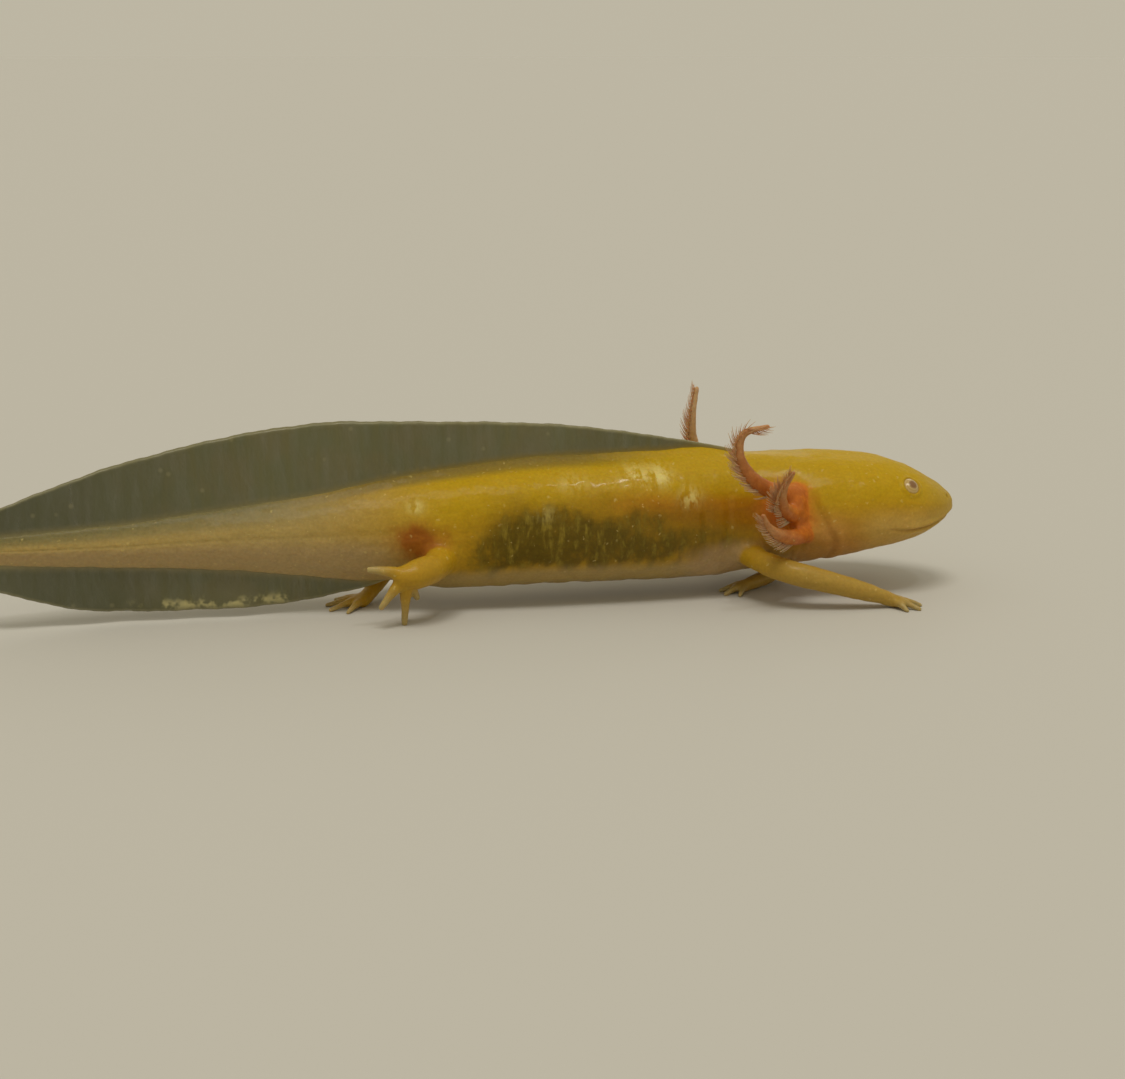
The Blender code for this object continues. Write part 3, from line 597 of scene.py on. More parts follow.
def sculpt(points, normals):
    # the small forms of the skin, as heights along its normals, and a mask of painted shade that darkens the
    # colour in its creases
    height = np.zeros(len(points))
    crease = np.zeros(len(points))

    which, gap, share, foot = nearLine(points, mouthLine(), 1.6)
    ends = smoothStep(0.0, 0.10, share) * smoothStep(1.0, 0.90, share)
    above = points[which, 2] > foot[:, 2]
    lip = np.where(above, face["upperLip"], face["lowerLip"])
    front = 1 - 0.5 * bell(share - 0.5, 0.10)  # shallower round the tip of the snout
    height[which] -= face["mouthDepth"] * bell(gap, face["mouthWidth"]) * (0.35 + 0.65 * ends) * front
    height[which] += ridge(gap, (lip, face["lipAway"], face["lipWidth"])) * ends * front
    crease[which] = np.maximum(crease[which], 0.75 * bell(gap, 0.20) * (0.3 + 0.7 * ends) * front)

    which, gap, share, foot = nearLine(points, foldLine(), 2.2)
    ends = smoothStep(0.0, 0.12, share) * smoothStep(1.0, 0.88, share)
    ahead = points[which, 0] - foot[:, 0]
    height[which] -= face["foldDepth"] * bell(gap, face["foldWidth"]) * ends
    height[which] += face["flap"] * bell(ahead - 0.8, 0.6) * bell(gap - 0.8, 0.7) * (ahead > 0) * ends
    crease[which] = np.maximum(crease[which], 0.25 * bell(gap, 0.4) * ends)

    for side in (-1, 1):
        pit = skinAt(face["nostrilX"], face["nostrilZ"], side)
        away = np.linalg.norm(points - pit, axis=1)
        height += -face["nostrilDepth"] * bell(away, face["nostrilWidth"]) + ridge(away, face["nostrilRim"])
        crease = np.maximum(crease, bell(away, 0.2))
        middle, out = eyeMiddle(side)
        offset = points - middle
        along = offset @ out
        away = np.linalg.norm(offset - along[:, None] * out, axis=1)
        beside = along > 0
        rim = ridge(away, face["eyeRim"]) + ridge(away, face["eyeDip"])
        rim -= face["eyeHollow"] * smoothStep(1.0, 0.7, away)
        height += np.where(beside & (away < 3), rim, 0)
        crease = np.maximum(crease, np.where(beside, 0.45 * bell(away - 1.0, 0.10), 0))

    share, side, off = bodyShares(points)
    x = points[:, 0]
    onBody = smoothStep(0.8, 0.1, off)
    tail = smoothStep(-14, -24, x) * onBody
    bend = np.abs(share - 0.5) * 5.5
    high, long = relief["tailMuscle"]
    height += tail * high * np.sin(2 * math.pi * (x + bend) / long) * smoothStep(0.0, 0.6, np.abs(side))
    line = ridge(share, relief["sideFurrow"])
    height -= line * smoothStep(-68, -60, x) * smoothStep(24, 16, x) * (np.abs(side) > 0.3) * onBody
    height += bumps(points, relief["unevenness"]) * onBody
    height += bumps(points, relief["grain"])
    belly = smoothStep(0.30, 0.08, share) * smoothStep(-16, -8, x) * smoothStep(26, 20, x) * onBody
    height += belly * bumps(points * (1.0, 1.0, 0.5), relief["bellyFolds"])
    # a keel of skin rises to meet each fin
    wide = np.minimum(body["keelWidth"], 0.35 * readTable(stationCurve, x)[2] + 0.15)
    keel = bell(points[:, 1] - middleY(x), wide) * onBody * smoothStep(-71.5, -66, x)
    over = smoothStep(0.6, 0.9, share) * smoothStep(21.5, 15, x)
    under = smoothStep(0.4, 0.1, share) * smoothStep(-18, -24, x)
    height += body["keelHeight"] * keel * (over + under) * np.minimum(1.0, wide / 0.5)
    throat = bell(x - 25.6, 1.6) * smoothStep(0.45, 0.1, share) * onBody
    high, long = relief["neckWrinkles"]
    height += high * throat * np.sin(2 * math.pi * x / long)
    return points + height[:, None] * normals, crease


def rootCrossing(path):
    # where a limb's line leaves the body
    line = curveThrough(path, np.linspace(0, len(path) - 1, 120))
    off = bodyShares(line)[2]
    return line[np.argmax(off > 0)]


skinSizes = {
    "voxel": 0.13,
    "triangles": 186000,
    "smoothing": (0.6, 3),  # weight and rounds
    "filletRounds": 110,
    # how far from a root or palm the skin is drawn out: none, full
    "gillFillet": (2.8, 1.4),
    "legFillet": (4.2, 2.2),
}


def makeSkin():
    piece = addPiece("skin", meshFrom("skin", fleshShells()))
    remesh = piece.modifiers.new("remesh", "REMESH")
    remesh.mode = "VOXEL"
    remesh.voxel_size = skinSizes["voxel"]
    mesh = applied(piece)
    points = pointsOf(mesh)
    print("skin remeshed:", len(points), "points")
    edges = np.empty(2 * len(mesh.edges), np.int32)
    mesh.edges.foreach_get("vertices", edges)
    edges = edges.reshape(-1, 2)
    weight, rounds = skinSizes["smoothing"]
    points = relax(points, edges, np.full(len(points), weight), rounds)
    spots = [(rootCrossing(path), 1.0, skinSizes["gillFillet"]) for path in gills["paths"].values()]
    for name, path in legs["paths"].items():
        line = [row[:3] for row in path]
        spots.append((rootCrossing(line), 1.0, skinSizes["legFillet"]))
        spots.append((line[-1], *legs["spreadWeb" if name == legs["spreadFoot"] else "web"]))
    fillet = np.zeros(len(points))
    for spot, strength, (none, full) in spots:
        away = np.linalg.norm(points - np.array(spot), axis=1)
        fillet = np.maximum(fillet, strength * smoothStep(none, full, away))
    points = relax(points, edges, fillet, skinSizes["filletRounds"])
    setPoints(mesh, points)
    points, crease = sculpt(points, readRows(mesh.vertex_normals, "vector"))
    points[:, 2] = np.maximum(points[:, 2], 0.0)
    setPoints(mesh, points)
    # the painted shade of the creases, kept as a mask for the skin's colour
    setMask(mesh, "crease", crease)
    thin = piece.modifiers.new("thin", "DECIMATE")
    thin.ratio = min(1.0, skinSizes["triangles"] / (2 * len(mesh.polygons)))
    mesh = applied(piece)
    print("skin thinned:", len(mesh.polygons), "faces")
    paintSkin(mesh)
    return piece


paint = {
    # where a mask fades in or out: by height share (0 the underside, 1 the back) and by x
    "zones": {
        "belly": {"share": (0.30, 0.10), "rear": (-22, -14), "front": (30, 24)},
        "back": {"share": (0.50, 0.78), "rear": (-26, -14)},
        "tail": {"front": (-12, -33)},
        "tailLow": {"share": (0.62, 0.30), "front": (-15, -24)},
        "cheek": {"share": (0.62, 0.25), "rear": (27, 31)},
        "jaw": {"share": (0.62, 0.34), "rear": (31, 35)},
    },
    # painted highlights of wet glints, on patches that are also made glossier, high on the flank and one over
    # the hip: strength, x, length, height share, height
    "shine": [(1.0, 7.6, 1.3, 0.90, 0.06), (1.0, 10.4, 1.2, 0.89, 0.065), (0.7, 13.6, 1.2, 0.73, 0.07),
              (0.3, 0.2, 2.0, 0.87, 0.06), (0.8, -17.3, 0.8, 0.80, 0.05), (0.25, -3.0, 1.2, 0.66, 0.06)],
    # x, height share
    "gutTop": [(-13, 0.56), (-6, 0.70), (2, 0.68), (12, 0.56), (20, 0.48)],
    "amberLine": [(-6, 0.74), (4, 0.70), (12, 0.62), (24, 0.56)],
    "keelReach": 3.5,  # a keel under a fin belongs to the body up to this far off its surface
}


def paintSkin(mesh):
    # soft masks that the skin's colours follow, from the place of each point
    points = pointsOf(mesh)
    x = points[:, 0]
    share, side, off = bodyShares(points)
    keel = np.where((share > 0.5) | (x < -28), paint["keelReach"], 1.2)
    nearMiddle = smoothStep(3.2, 2.0, np.abs(points[:, 1] - middleY(x)))
    onBody = np.maximum(smoothStep(0.9, 0.15, off), nearMiddle * (off < keel))
    onSide = smoothStep(0.45, 0.75, np.abs(side))
    masks = {}
    for name, zone in paint["zones"].items():
        steps = [smoothStep(*ends, share if by == "share" else x) for by, ends in zone.items()]
        masks[name] = math.prod(steps)

    # the gut shows through the flank, darkest towards the rear, with an amber band above it
    gutTop = np.interp(x, *zip(*paint["gutTop"])) + 0.03 * waves(points, 4.0, 21)
    along = smoothStep(-14.5, -7.0, x) * smoothStep(24.0, 14.0, x)
    along *= smoothStep(0.10, 0.34, share + 0.04 * waves(points, 2.0, 23))
    masks["gutSoft"] = along * smoothStep(gutTop + 0.22, gutTop - 0.10, share)
    fading = 1.0 - 0.38 * smoothStep(0.0, 15.0, x)
    masks["gut"] = along * smoothStep(gutTop + 0.10, gutTop - 0.18, share) * fading
    band = bell(share - np.interp(x, *zip(*paint["amberLine"])), 0.15)
    masks["amber"] = smoothStep(-6, 16, x) * smoothStep(28.5, 24.0, x) * band
    # painted highlights: pale glints where the wet skin would catch the light, with a lower roughness there
    # too
    glintPatches = sum(much * bell(x - at, long) * bell(share - up, high)
                  for much, at, long, up, high in paint["shine"])
    masks["shine"] = np.minimum(glintPatches, 1.0)
    # the back and the tail take the fin's colour where it rises from them
    crest = 0.25 * smoothStep(0.98, 1.05, share)
    masks["tailRim"] = (0.75 * smoothStep(0.66, 0.94, share) + crest) * smoothStep(-18, -38, x)
    crest += 0.75 * smoothStep(0.955, 1.0, share)
    masks["ridge"] = crest * smoothStep(14, 0, x) * smoothStep(-34, -20, x)
    masks["dull"] = np.maximum(smoothStep(25, 31, x), 0.85 * smoothStep(6, -6, x))
    # a paler pink flush on the throat and in front of the gills
    flush = bell(x - 28.5, 3.0) * smoothStep(0.65, 0.35, share)
    masks["pink"] = np.minimum(flush + 0.8 * bell(x - 30, 6) * smoothStep(0.35, 0.1, share), 1.0)
    masks = {name: values * onBody for name, values in masks.items()}

    masks["snout"] = smoothStep(38.5, 44.5, x)
    hip = 1.3 * bell(x + 17.1, 2.9) * bell(share - 0.48, 0.17) * onSide
    masks["hip"] = np.minimum(hip, 1.0) * smoothStep(1.0, 0.3, off)
    masks["chest"] = bell(x - 18.0, 5.0) * smoothStep(0.45, 0.20, share) * smoothStep(1.4, 0.4, off)
    gill = 0.9 * bell(x - 24.7, 3.1) * bell(share - 0.56, 0.27) * onSide
    tip, pale, leg, hand = np.zeros((4, len(points)))
    for name, path in gills["paths"].items():
        line = curveThrough(path, np.linspace(0, len(path) - 1, 50))
        which, gap, place, _ = nearLine(points, line, 2.0)
        reached = smoothStep(0.0, 0.7, off[which]) * (gap < 1.7)
        gill[which] = np.maximum(gill[which], reached)
        tip[which] = np.maximum(tip[which], reached * smoothStep(0.25, 0.90, place))
        if name == gills["pale"]:
            pale[which] = reached * smoothStep(0.1, 0.45, place)
    for name, path in legs["paths"].items():
        line = curveThrough([row[:3] for row in path], np.linspace(0, len(path) - 1, 50))
        which, gap, place, _ = nearLine(points, line, 2.6)
        reached = smoothStep(0.0, 0.9, off[which]) * (tip[which] == 0)
        leg[which] = np.maximum(leg[which], reached * smoothStep(0.15, 0.5, place))
        for end in legs["toes"][name]:
            which, gap, place, _ = nearLine(points, toeLine(name, end), 0.9)
            hand[which] = np.maximum(hand[which], smoothStep(0.25, 1.0, place))
    masks.update(gill=gill, gillTip=tip, gillPale=pale, leg=leg, hand=hand)
    masks["foreLeg"] = leg * smoothStep(0, 10, x)
    for name, values in masks.items():
        setMask(mesh, name, values)


# Wet amphibian skin over gold pigment: no scales, a soft sheen and light that sinks a little way in
skinLook = {
    "gold": "#b89012",
    # laid over the gold one after another: colour, strength
    "layers": {
        "uneven": ("#a67d18", 0.45),
        "back": ("#b99703", 0.85),
        "cheek": ("#b38132", 0.7),
        "jaw": ("#c2a052", 0.8),
        "snout": ("#ad903a", 0.6),
        "tail": ("#a8935c", 0.85),
        "tailLow": ("#b0966a", 0.8),
        "tailRim": ("#7b7248", 1.0),
        "ridge": ("#7f6c2c", 1.0),
        "amber": ("#a86c04", 0.9),
        "gutSoft": ("#806204", 0.85),
        "gut": ("#584803", 0.85),
        "belly": ("#a38d5c", 0.8),
        "hip": ("#96520c", 0.9),
        "leg": ("#b28c24", 0.7),
        "foreLeg": ("#a88b44", 0.7),
        "hand": ("#a89a6c", 0.75),
        "pink": ("#c08a50", 0.6),
        "chest": ("#b2946c", 0.75),
        "gill": ("#ca7024", 0.9),
        "gillTip": ("#bc9464", 0.85),
        "gillDark": ("#944816", 0.45),
        "gillPale": ("#c4a67c", 0.8),
        # painted shade: a darker brown in the mouth line, the throat fold, the nostrils and round the eyes
        "crease": ("#8f5f1c", 0.55),
        "clump": ("#a08a2c", 0.55),
        # painted highlight: pale wet glints, where the skin is also glossier
        "shine": ("#dccb7c", 1.0),
        "fleck": ("#d8c27a", 0.5),
    },
    # soft edges broken up by a noise: the mask, the noise and its strength, from, to
    "broken": {
        "amber": ("amber", "mottle", 0.4, 0.0, 0.95),
        "gut": ("gut", "blotch", 1.7, 0.0, 1.0),
        "belly": ("belly", "mottle", 0.4, 0.1, 0.9),
        "hip": ("hip", "blotch", 0.8, 0.0, 1.05),
        "chest": ("chest", "mottle", 0.5, 0.05, 0.9),
        "gill": ("gill", "mottle", 0.45, 0.1, 0.8),
        "gillDark": ("gill", "spots", 1.6, 0.55, 1.25),
    },
    # of the upright streaks: from, to
    "upright": {"clump": (0.47, 0.72), "shine": (0.40, 0.58)},
    # size in mm, detail, roughness
    "noises": {
        "mottle": (2.6, 4.0, 0.6),
        "grain": (0.34, 2.0, 0.5),
        "spots": (0.9, 3.0, 0.6),
        "jitter": (0.5, 2.0, 0.5),
        "pucker": (1.1, 2.0, 0.5),
    },
    "streakWide": 0.85,  # mm
    "streakHigh": 2.3,
    "fleckSize": 0.62,
    "beadSize": 0.42,
    "bump": 0.05,
}


def skinMaterial():
    material, shader, add = newMaterial("wet_gold_skin")
    look = skinLook
    place, mask = readPiece(add, "back cheek jaw snout tail tailLow tailRim ridge amber gutSoft gut belly hip"
                                 " leg foreLeg hand pink chest gill gillTip gillPale crease shine dull")
    noise = {}
    for name, (size, detail, rough) in look["noises"].items():
        noise[name] = add("ShaderNodeTexNoise", {
            "Vector": place, "Scale": perMm(size), "Detail": detail, "Roughness": rough})
    mottle = noise["mottle"]
    narrow = (1.0, 0.6, look["streakWide"] / look["streakHigh"])
    streak = add("ShaderNodeMapping", {"Vector": place, "Scale": narrow})
    streak = add("ShaderNodeTexNoise", {
        "Vector": streak, "Scale": perMm(look["streakWide"]), "Detail": 3.0, "Roughness": 0.65})
    blotch = add("ShaderNodeMath", {0: streak, 1: 0.8, 2: mottle}, operation="MULTIPLY_ADD")
    noise["blotch"] = add("ShaderNodeMath", {0: blotch, 1: 0.4}, operation="SUBTRACT")
    shown = dict(mask)
    shown["uneven"] = add("ShaderNodeMapRange", {"Value": mottle, "From Min": 0.3, "From Max": 0.7})
    for name, (source, by, amount, low, high) in look["broken"].items():
        edge = add("ShaderNodeMath", {0: noise[by], 1: amount, 2: -0.5 * amount}, operation="MULTIPLY_ADD")
        edge = add("ShaderNodeMath", {0: mask[source], 1: edge}, operation="ADD")
        edge = add("ShaderNodeMapRange", {"Value": edge, "From Min": low, "From Max": high}, **smooth)
        inside = add("ShaderNodeMapRange", {"Value": mask[source], "From Min": 0.0, "From Max": 0.15})
        shown[name] = add("ShaderNodeMath", {0: edge, 1: inside}, operation="MULTIPLY")
    # lighter clumps in the dark of the gut, and the painted highlights of wet glints, both upright
    for name, within in (("clump", shown["gut"]), ("shine", mask["shine"])):
        low, high = look["upright"][name]
        part = add("ShaderNodeMapRange", {"Value": streak, "From Min": low, "From Max": high}, **smooth)
        shown[name] = add("ShaderNodeMath", {0: part, 1: within}, operation="MULTIPLY")
    # gold flecks of shiny cells over the whole skin, some of the cells chosen, each of its own size
    moved = add("ShaderNodeVectorMath", {
        0: noise["jitter"].outputs["Color"], "Scale": 0.7 * mm}, operation="SCALE")
    moved = add("ShaderNodeVectorMath", {0: moved, 1: place}, operation="ADD")
    cells = add("ShaderNodeTexVoronoi", {"Vector": moved, "Scale": perMm(look["fleckSize"])})
    parts = add("ShaderNodeSeparateColor", {0: cells.outputs["Color"]}).outputs
    size = add("ShaderNodeMapRange", {"Value": parts[1], "To Min": 0.12, "To Max": 0.42})
    dot = add("ShaderNodeMapRange", {"Value": cells, "From Min": size, "From Max": 0.04}, **smooth)
    chosen = add("ShaderNodeMapRange", {"Value": parts[0], "From Min": 0.66, "From Max": 0.95})
    shown["fleck"] = add("ShaderNodeMath", {0: dot, 1: chosen}, operation="MULTIPLY")
    colour = overlay(add, toLinear(look["gold"]), look["layers"], shown)
    shade = add("ShaderNodeMapRange", {
        "Value": noise["grain"], "From Min": 0.25, "From Max": 0.75, "To Min": 0.90, "To Max": 1.08})
    shade = add("ShaderNodeCombineColor", {0: shade, 1: shade, 2: shade})
    colour = add("ShaderNodeMix", {0: 1.0, 6: colour, 7: shade}, data_type="RGBA", blend_type="MULTIPLY")

    # the head and the rear are duller than the flanks
    rough = add("ShaderNodeMapRange", {
        "Value": mottle, "From Min": 0.3, "From Max": 0.7, "To Min": 0.36, "To Max": 0.60})
    for name, more in (("dull", 0.16), ("shine", -0.15)):
        rough = add("ShaderNodeMath", {0: mask[name], 1: more, 2: rough}, operation="MULTIPLY_ADD")
    film = add("ShaderNodeMapRange", {"Value": mask["dull"], "To Min": 0.25, "To Max": 0.08})
    beads = {"Vector": place, "Scale": perMm(look["beadSize"])}
    high = add("ShaderNodeTexVoronoi", beads, feature="SMOOTH_F1")
    for name, much in (("grain", 0.6), ("pucker", 3.0)):
        high = add("ShaderNodeMath", {0: noise[name], 1: much, 2: high}, operation="MULTIPLY_ADD")
    bump = add("ShaderNodeBump", {"Strength": 0.55, "Distance": look["bump"] * mm, "Height": high})
    setInputs(shader, {
        "Base Color": colour, "Roughness": rough, "Normal": bump, "IOR": 1.38,
        "Specular IOR Level": 0.25,  # keeps the sky's grey out of the gold
        "Subsurface Weight": 0.35, "Subsurface Radius": (1.0, 0.55, 0.20), "Subsurface Scale": 0.6 * mm,
        "Coat Weight": film,  # the film of water on a living skin
        "Coat Roughness": 0.12, "Coat IOR": 1.33,
    })
    return material


skin = makeSkin()
toFrame(skin)
skin.data.materials.clear()
skin.data.materials.append(skinMaterial())
print("skin done")


# The fins

fins = {
    # x, height of the edge
    "top": [
        (-72.6, 10.1), (-71.4, 10.7), (-67.0, 12.1), (-61.7, 13.8), (-56.0, 15.7), (-50.3, 17.5),
        (-43.5, 19.2), (-38.8, 20.2), (-33.0, 21.0), (-25.0, 21.55), (-16.2, 21.3), (-7.2, 20.8),
        (1.4, 20.1), (8.1, 19.1), (14.1, 17.95), (19.8, 16.7), (23.0, 15.6),
    ],
    "low": [
        (-72.6, 8.8), (-71.4, 8.2), (-67.0, 6.2), (-62.3, 4.5), (-59.0, 3.3), (-56.0, 2.3),
        (-51.0, 1.4), (-45.0, 1.1), (-39.6, 1.05), (-33.6, 1.1), (-27.7, 1.65), (-22.6, 2.55), (-19.6, 3.6),
        (-18.2, 4.2),
    ],
    "tip": [(-72.85, 9.75), (-72.95, 9.45), (-72.85, 9.15)],
    "columns": 460,
    "rows": 26,
    "rootThick": 0.9,
    "edgeThick": 0.34,
    "sunk": 0.9,
    # mm high and long, radians on: dents of the edge, and waves of the whole sheet from side to side
    "dents": [(0.03, 3.9, 0), (0.02, 1.47, 1)],
    "waves": [(0.30, 24.0, 0.6), (0.14, 8.3, 2.1)],
}


def finOutline():
    # even points along the edge, from behind the gills round the tail's end to the vent
    top = eased(fins["top"], np.linspace(len(fins["top"]) - 1, 0, 400))
    low = eased(fins["low"], np.linspace(0, len(fins["low"]) - 1, 400))
    line = np.vstack((top, fins["tip"], low))
    along = np.concatenate(([0], np.cumsum(np.linalg.norm(np.diff(line, axis=0), axis=1))))
    even = np.linspace(0, along[-1], fins["columns"])
    tipAt = along[len(top) + 1]
    return even, np.interp(even, along, line[:, 0]), np.interp(even, along, line[:, 1]), tipAt


def makeFins():
    even, xs, zs, tipAt = finOutline()
    upper = even < tipAt
    way = np.where(upper, 1, -1)
    rootX = np.maximum(xs, -71.0)
    top, low = readTable(stationCurve, rootX)[:2]
    skinZ = np.where(upper, top, low)
    rootZ = skinZ - way * np.minimum(fins["sunk"], 0.42 * (top - low))
    length = np.hypot(xs - rootX, zs - rootZ)
    fade = np.clip((np.abs(zs - skinZ) - 0.5) / 2, 0, 1)
    dent, wave = (sum(high * np.sin(2 * math.pi * even / long + on) for high, long, on in fins[name])
                  for name in ("dents", "waves"))

    # one row for each share of the way out, one column for each point of the outline
    share = np.linspace(0, 1, fins["rows"])[:, None] ** 0.9
    x = rootX + (xs - rootX) * share
    z = rootZ + (zs - rootZ) * share + way * dent * fade * share**4
    y = middleY(x) + wave * share**1.6 * fade
    thick = fins["rootThick"] + (fins["edgeThick"] - fins["rootThick"]) * share**0.6
    thick = np.minimum(thick, fins["edgeThick"] + 0.25 * length)
    ray = 0.02 * np.sin(2 * math.pi * (even - 0.5 * z) / 1.15) * np.sin(math.pi * share)
    rounded = np.sqrt(np.maximum(0, 1 - np.maximum(0, (share - 0.96) / 0.04) ** 2))
    half = (thick / 2 + ray * 0.5 * fade) * rounded
    # each ring goes out on the left side and comes back on the right
    out = np.arange(len(share))
    there = np.concatenate((out, out[-2::-1]))
    side = np.where(np.arange(len(there)) < len(out), 1, -1)[:, None]
    rings = np.stack((x[there], y[there] + side * half[there], z[there]), axis=-1).transpose(1, 0, 2)
    points, faces = closeRings(list(rings))
    piece = addPiece("fins", meshFrom("fins", [(points, faces)]))

    def spread(values):
        # values for the rings' points, and for the poles that close the first and last ring
        flat = np.broadcast_to(values, x.shape)[there].T.ravel()
        return np.concatenate((flat[:1], flat, flat[-1:]))

    rim = spread((1 - share) * length)
    glint = 0.75 * spread(~upper) * bell(rim - 0.75, 0.55)
    glint *= smoothStep(-50, -45, points[:, 0]) * smoothStep(-27, -32, points[:, 0])
    masks = {
        "rise": spread(np.maximum((z - skinZ) * way, 0)),  # mm above the skin
        "rim": rim,  # mm from the edge
        "tail": spread(smoothStep(-12, -33, xs)),
        "rear": 0.85 * smoothStep(-34, -58, points[:, 0]),
        "glint": glint,
    }
    for name, values in masks.items():
        setMask(piece.data, name, values)
    return piece


# Thin jelly-like fin: smoky olive that lets some light through, gold where it rises from the back
finLook = {
    "root": "#8a752a",
    "film": "#69643f",
    # laid over the root, the film and both: colour, strength
    "overRoot": {"tail": ("#857b52", 1.0)},
    "overFilm": {"green": ("#64643f", 1.0), "warm": ("#726a40", 0.3), "rear": ("#525338", 1.0)},
    "overBoth": {"edge": ("#958e66", 0.7), "glint": ("#cfc387", 1.0), "speck": ("#a59c72", 0.25)},
    # size in mm, detail, roughness
    "noises": {
        "cloud": (5.2, 3.0, 0.55),
        "rays": (1.1, 3.0, 0.6),
        "fine": (0.5, 2.0, 0.5),
        "spots": (2.6, 3.0, 0.7),
    },
    "raySlant": -28,  # degrees
    "speckSize": 2.4,
    "alpha": (0.75, 0.91),
    "bump": 0.04,
}


def finMaterial():
    material, shader, add = newMaterial("translucent_fin")
    look = finLook
    place, mask = readPiece(add, "rise rim tail rear glint")
    slant = add("ShaderNodeMapping", {
        "Vector": place, "Rotation": (0.0, math.radians(look["raySlant"]), 0.0), "Scale": (1.0, 0.3, 0.16)})
    noise = {}
    for name, (size, detail, rough) in look["noises"].items():
        spot = slant if name == "rays" else place
        noise[name] = add("ShaderNodeTexNoise", {
            "Vector": spot, "Scale": perMm(size), "Detail": detail, "Roughness": rough})
    cells = add("ShaderNodeTexVoronoi", {"Vector": place, "Scale": perMm(look["speckSize"])})
    risen = add("ShaderNodeMath", {0: noise["fine"], 1: 0.4, 2: -0.2}, operation="MULTIPLY_ADD")
    risen = add("ShaderNodeMath", {0: mask["rise"], 1: risen}, operation="ADD")
    ranges = {
        # what it reads, from, to
        "green": (noise["cloud"], 0.38, 0.62),
        "warm": (noise["rays"], 0.45, 0.75),
        "risen": (risen, 0.3, 1.5),
        "edge": (mask["rim"], 0.45, 0.05),
        "glint": (noise["spots"], 0.49, 0.62),
        "speck": (cells, 0.16, 0.05),
        "clear": (mask["rise"], 0.5, 2.2),
    }
    shown = dict(mask)
    for name, (read, low, high) in ranges.items():
        shown[name] = add("ShaderNodeMapRange", {"Value": read, "From Min": low, "From Max": high}, **smooth)
    shown["glint"] = add("ShaderNodeMath", {0: shown["glint"], 1: mask["glint"]}, operation="MULTIPLY")
    root = overlay(add, toLinear(look["root"]), look["overRoot"], shown)
    film = overlay(add, toLinear(look["film"]), look["overFilm"], shown)
    colour = add("ShaderNodeMix", {0: shown["risen"], 6: root, 7: film}, data_type="RGBA")
    colour = overlay(add, colour, look["overBoth"], shown)

    thin, dense = look["alpha"]
    alpha = add("ShaderNodeMapRange", {
        "Value": noise["rays"], "From Min": 0.3, "From Max": 0.7, "To Min": thin, "To Max": dense})
    solid = add("ShaderNodeMath", {0: 1.0, 1: shown["clear"]}, operation="SUBTRACT")
    alpha = add("ShaderNodeMath", {0: alpha, 1: solid}, operation="MAXIMUM")
    rough = add("ShaderNodeMapRange", {
        "Value": noise["cloud"], "From Min": 0.3, "From Max": 0.7, "To Min": 0.28, "To Max": 0.45})
    high = add("ShaderNodeMath", {0: noise["rays"], 1: 1.2, 2: noise["fine"]}, operation="MULTIPLY_ADD")
    bump = add("ShaderNodeBump", {"Strength": 0.25, "Distance": look["bump"] * mm, "Height": high})
    setInputs(shader, {
        "Base Color": colour, "Alpha": alpha, "Roughness": rough, "Normal": bump, "IOR": 1.38,
        "Coat Weight": 0.35, "Coat Roughness": 0.18, "Coat IOR": 1.33,
    })
    return material


finPiece = makeFins()
toFrame(finPiece)
finPiece.data.materials.append(finMaterial())
print("fins done:", len(finPiece.data.polygons), "faces")


# Gill filaments, grown by Geometry Nodes in two rows along the rear of each stalk

filaments = {
    "perRow": 54,
    "first": 0.30,  # shares of the stalk's length
    "last": 0.985,
    "long": 1.75,  # mm
    "short": 0.8,
    "radius": 0.055,  # for a thread 1 mm long
    "spread": 0.60,  # radians between a row and the stalk's rear
    "lean": 1.25,  # how far a filament leans towards the tip, for its length
    "seed": 7,
}


def stalkLines():
    # one polyline a stalk, with its share of the length and its rear as attributes
    points, edges, shares, rears = [], [], [], []
    for path in gills["paths"].values():
        places = np.linspace(filaments["first"], filaments["last"], 40)
        line = curveThrough(path, places * (len(path) - 1))
        tangent = np.gradient(line, axis=0)
        tangent /= np.linalg.norm(tangent, axis=1)[:, None]
        rear = np.array((-1.0, 0.0, -0.5)) - tangent * (tangent @ np.array((-1.0, 0.0, -0.5)))[:, None]
        rear /= np.linalg.norm(rear, axis=1)[:, None]
        start = len(points)
        points += line.tolist()
        edges += [(start + k, start + k + 1) for k in range(len(line) - 1)]
        shares += places.tolist()
        rears += rear.tolist()
    mesh = bpy.data.meshes.new("gill_lines")
    mesh.from_pydata(points, edges, [])
    setMask(mesh, "share", shares)
    ways = mesh.attributes.new("rear", "FLOAT_VECTOR", "POINT")
    ways.data.foreach_set("vector", np.asarray(rears, np.float32).ravel())
    return mesh


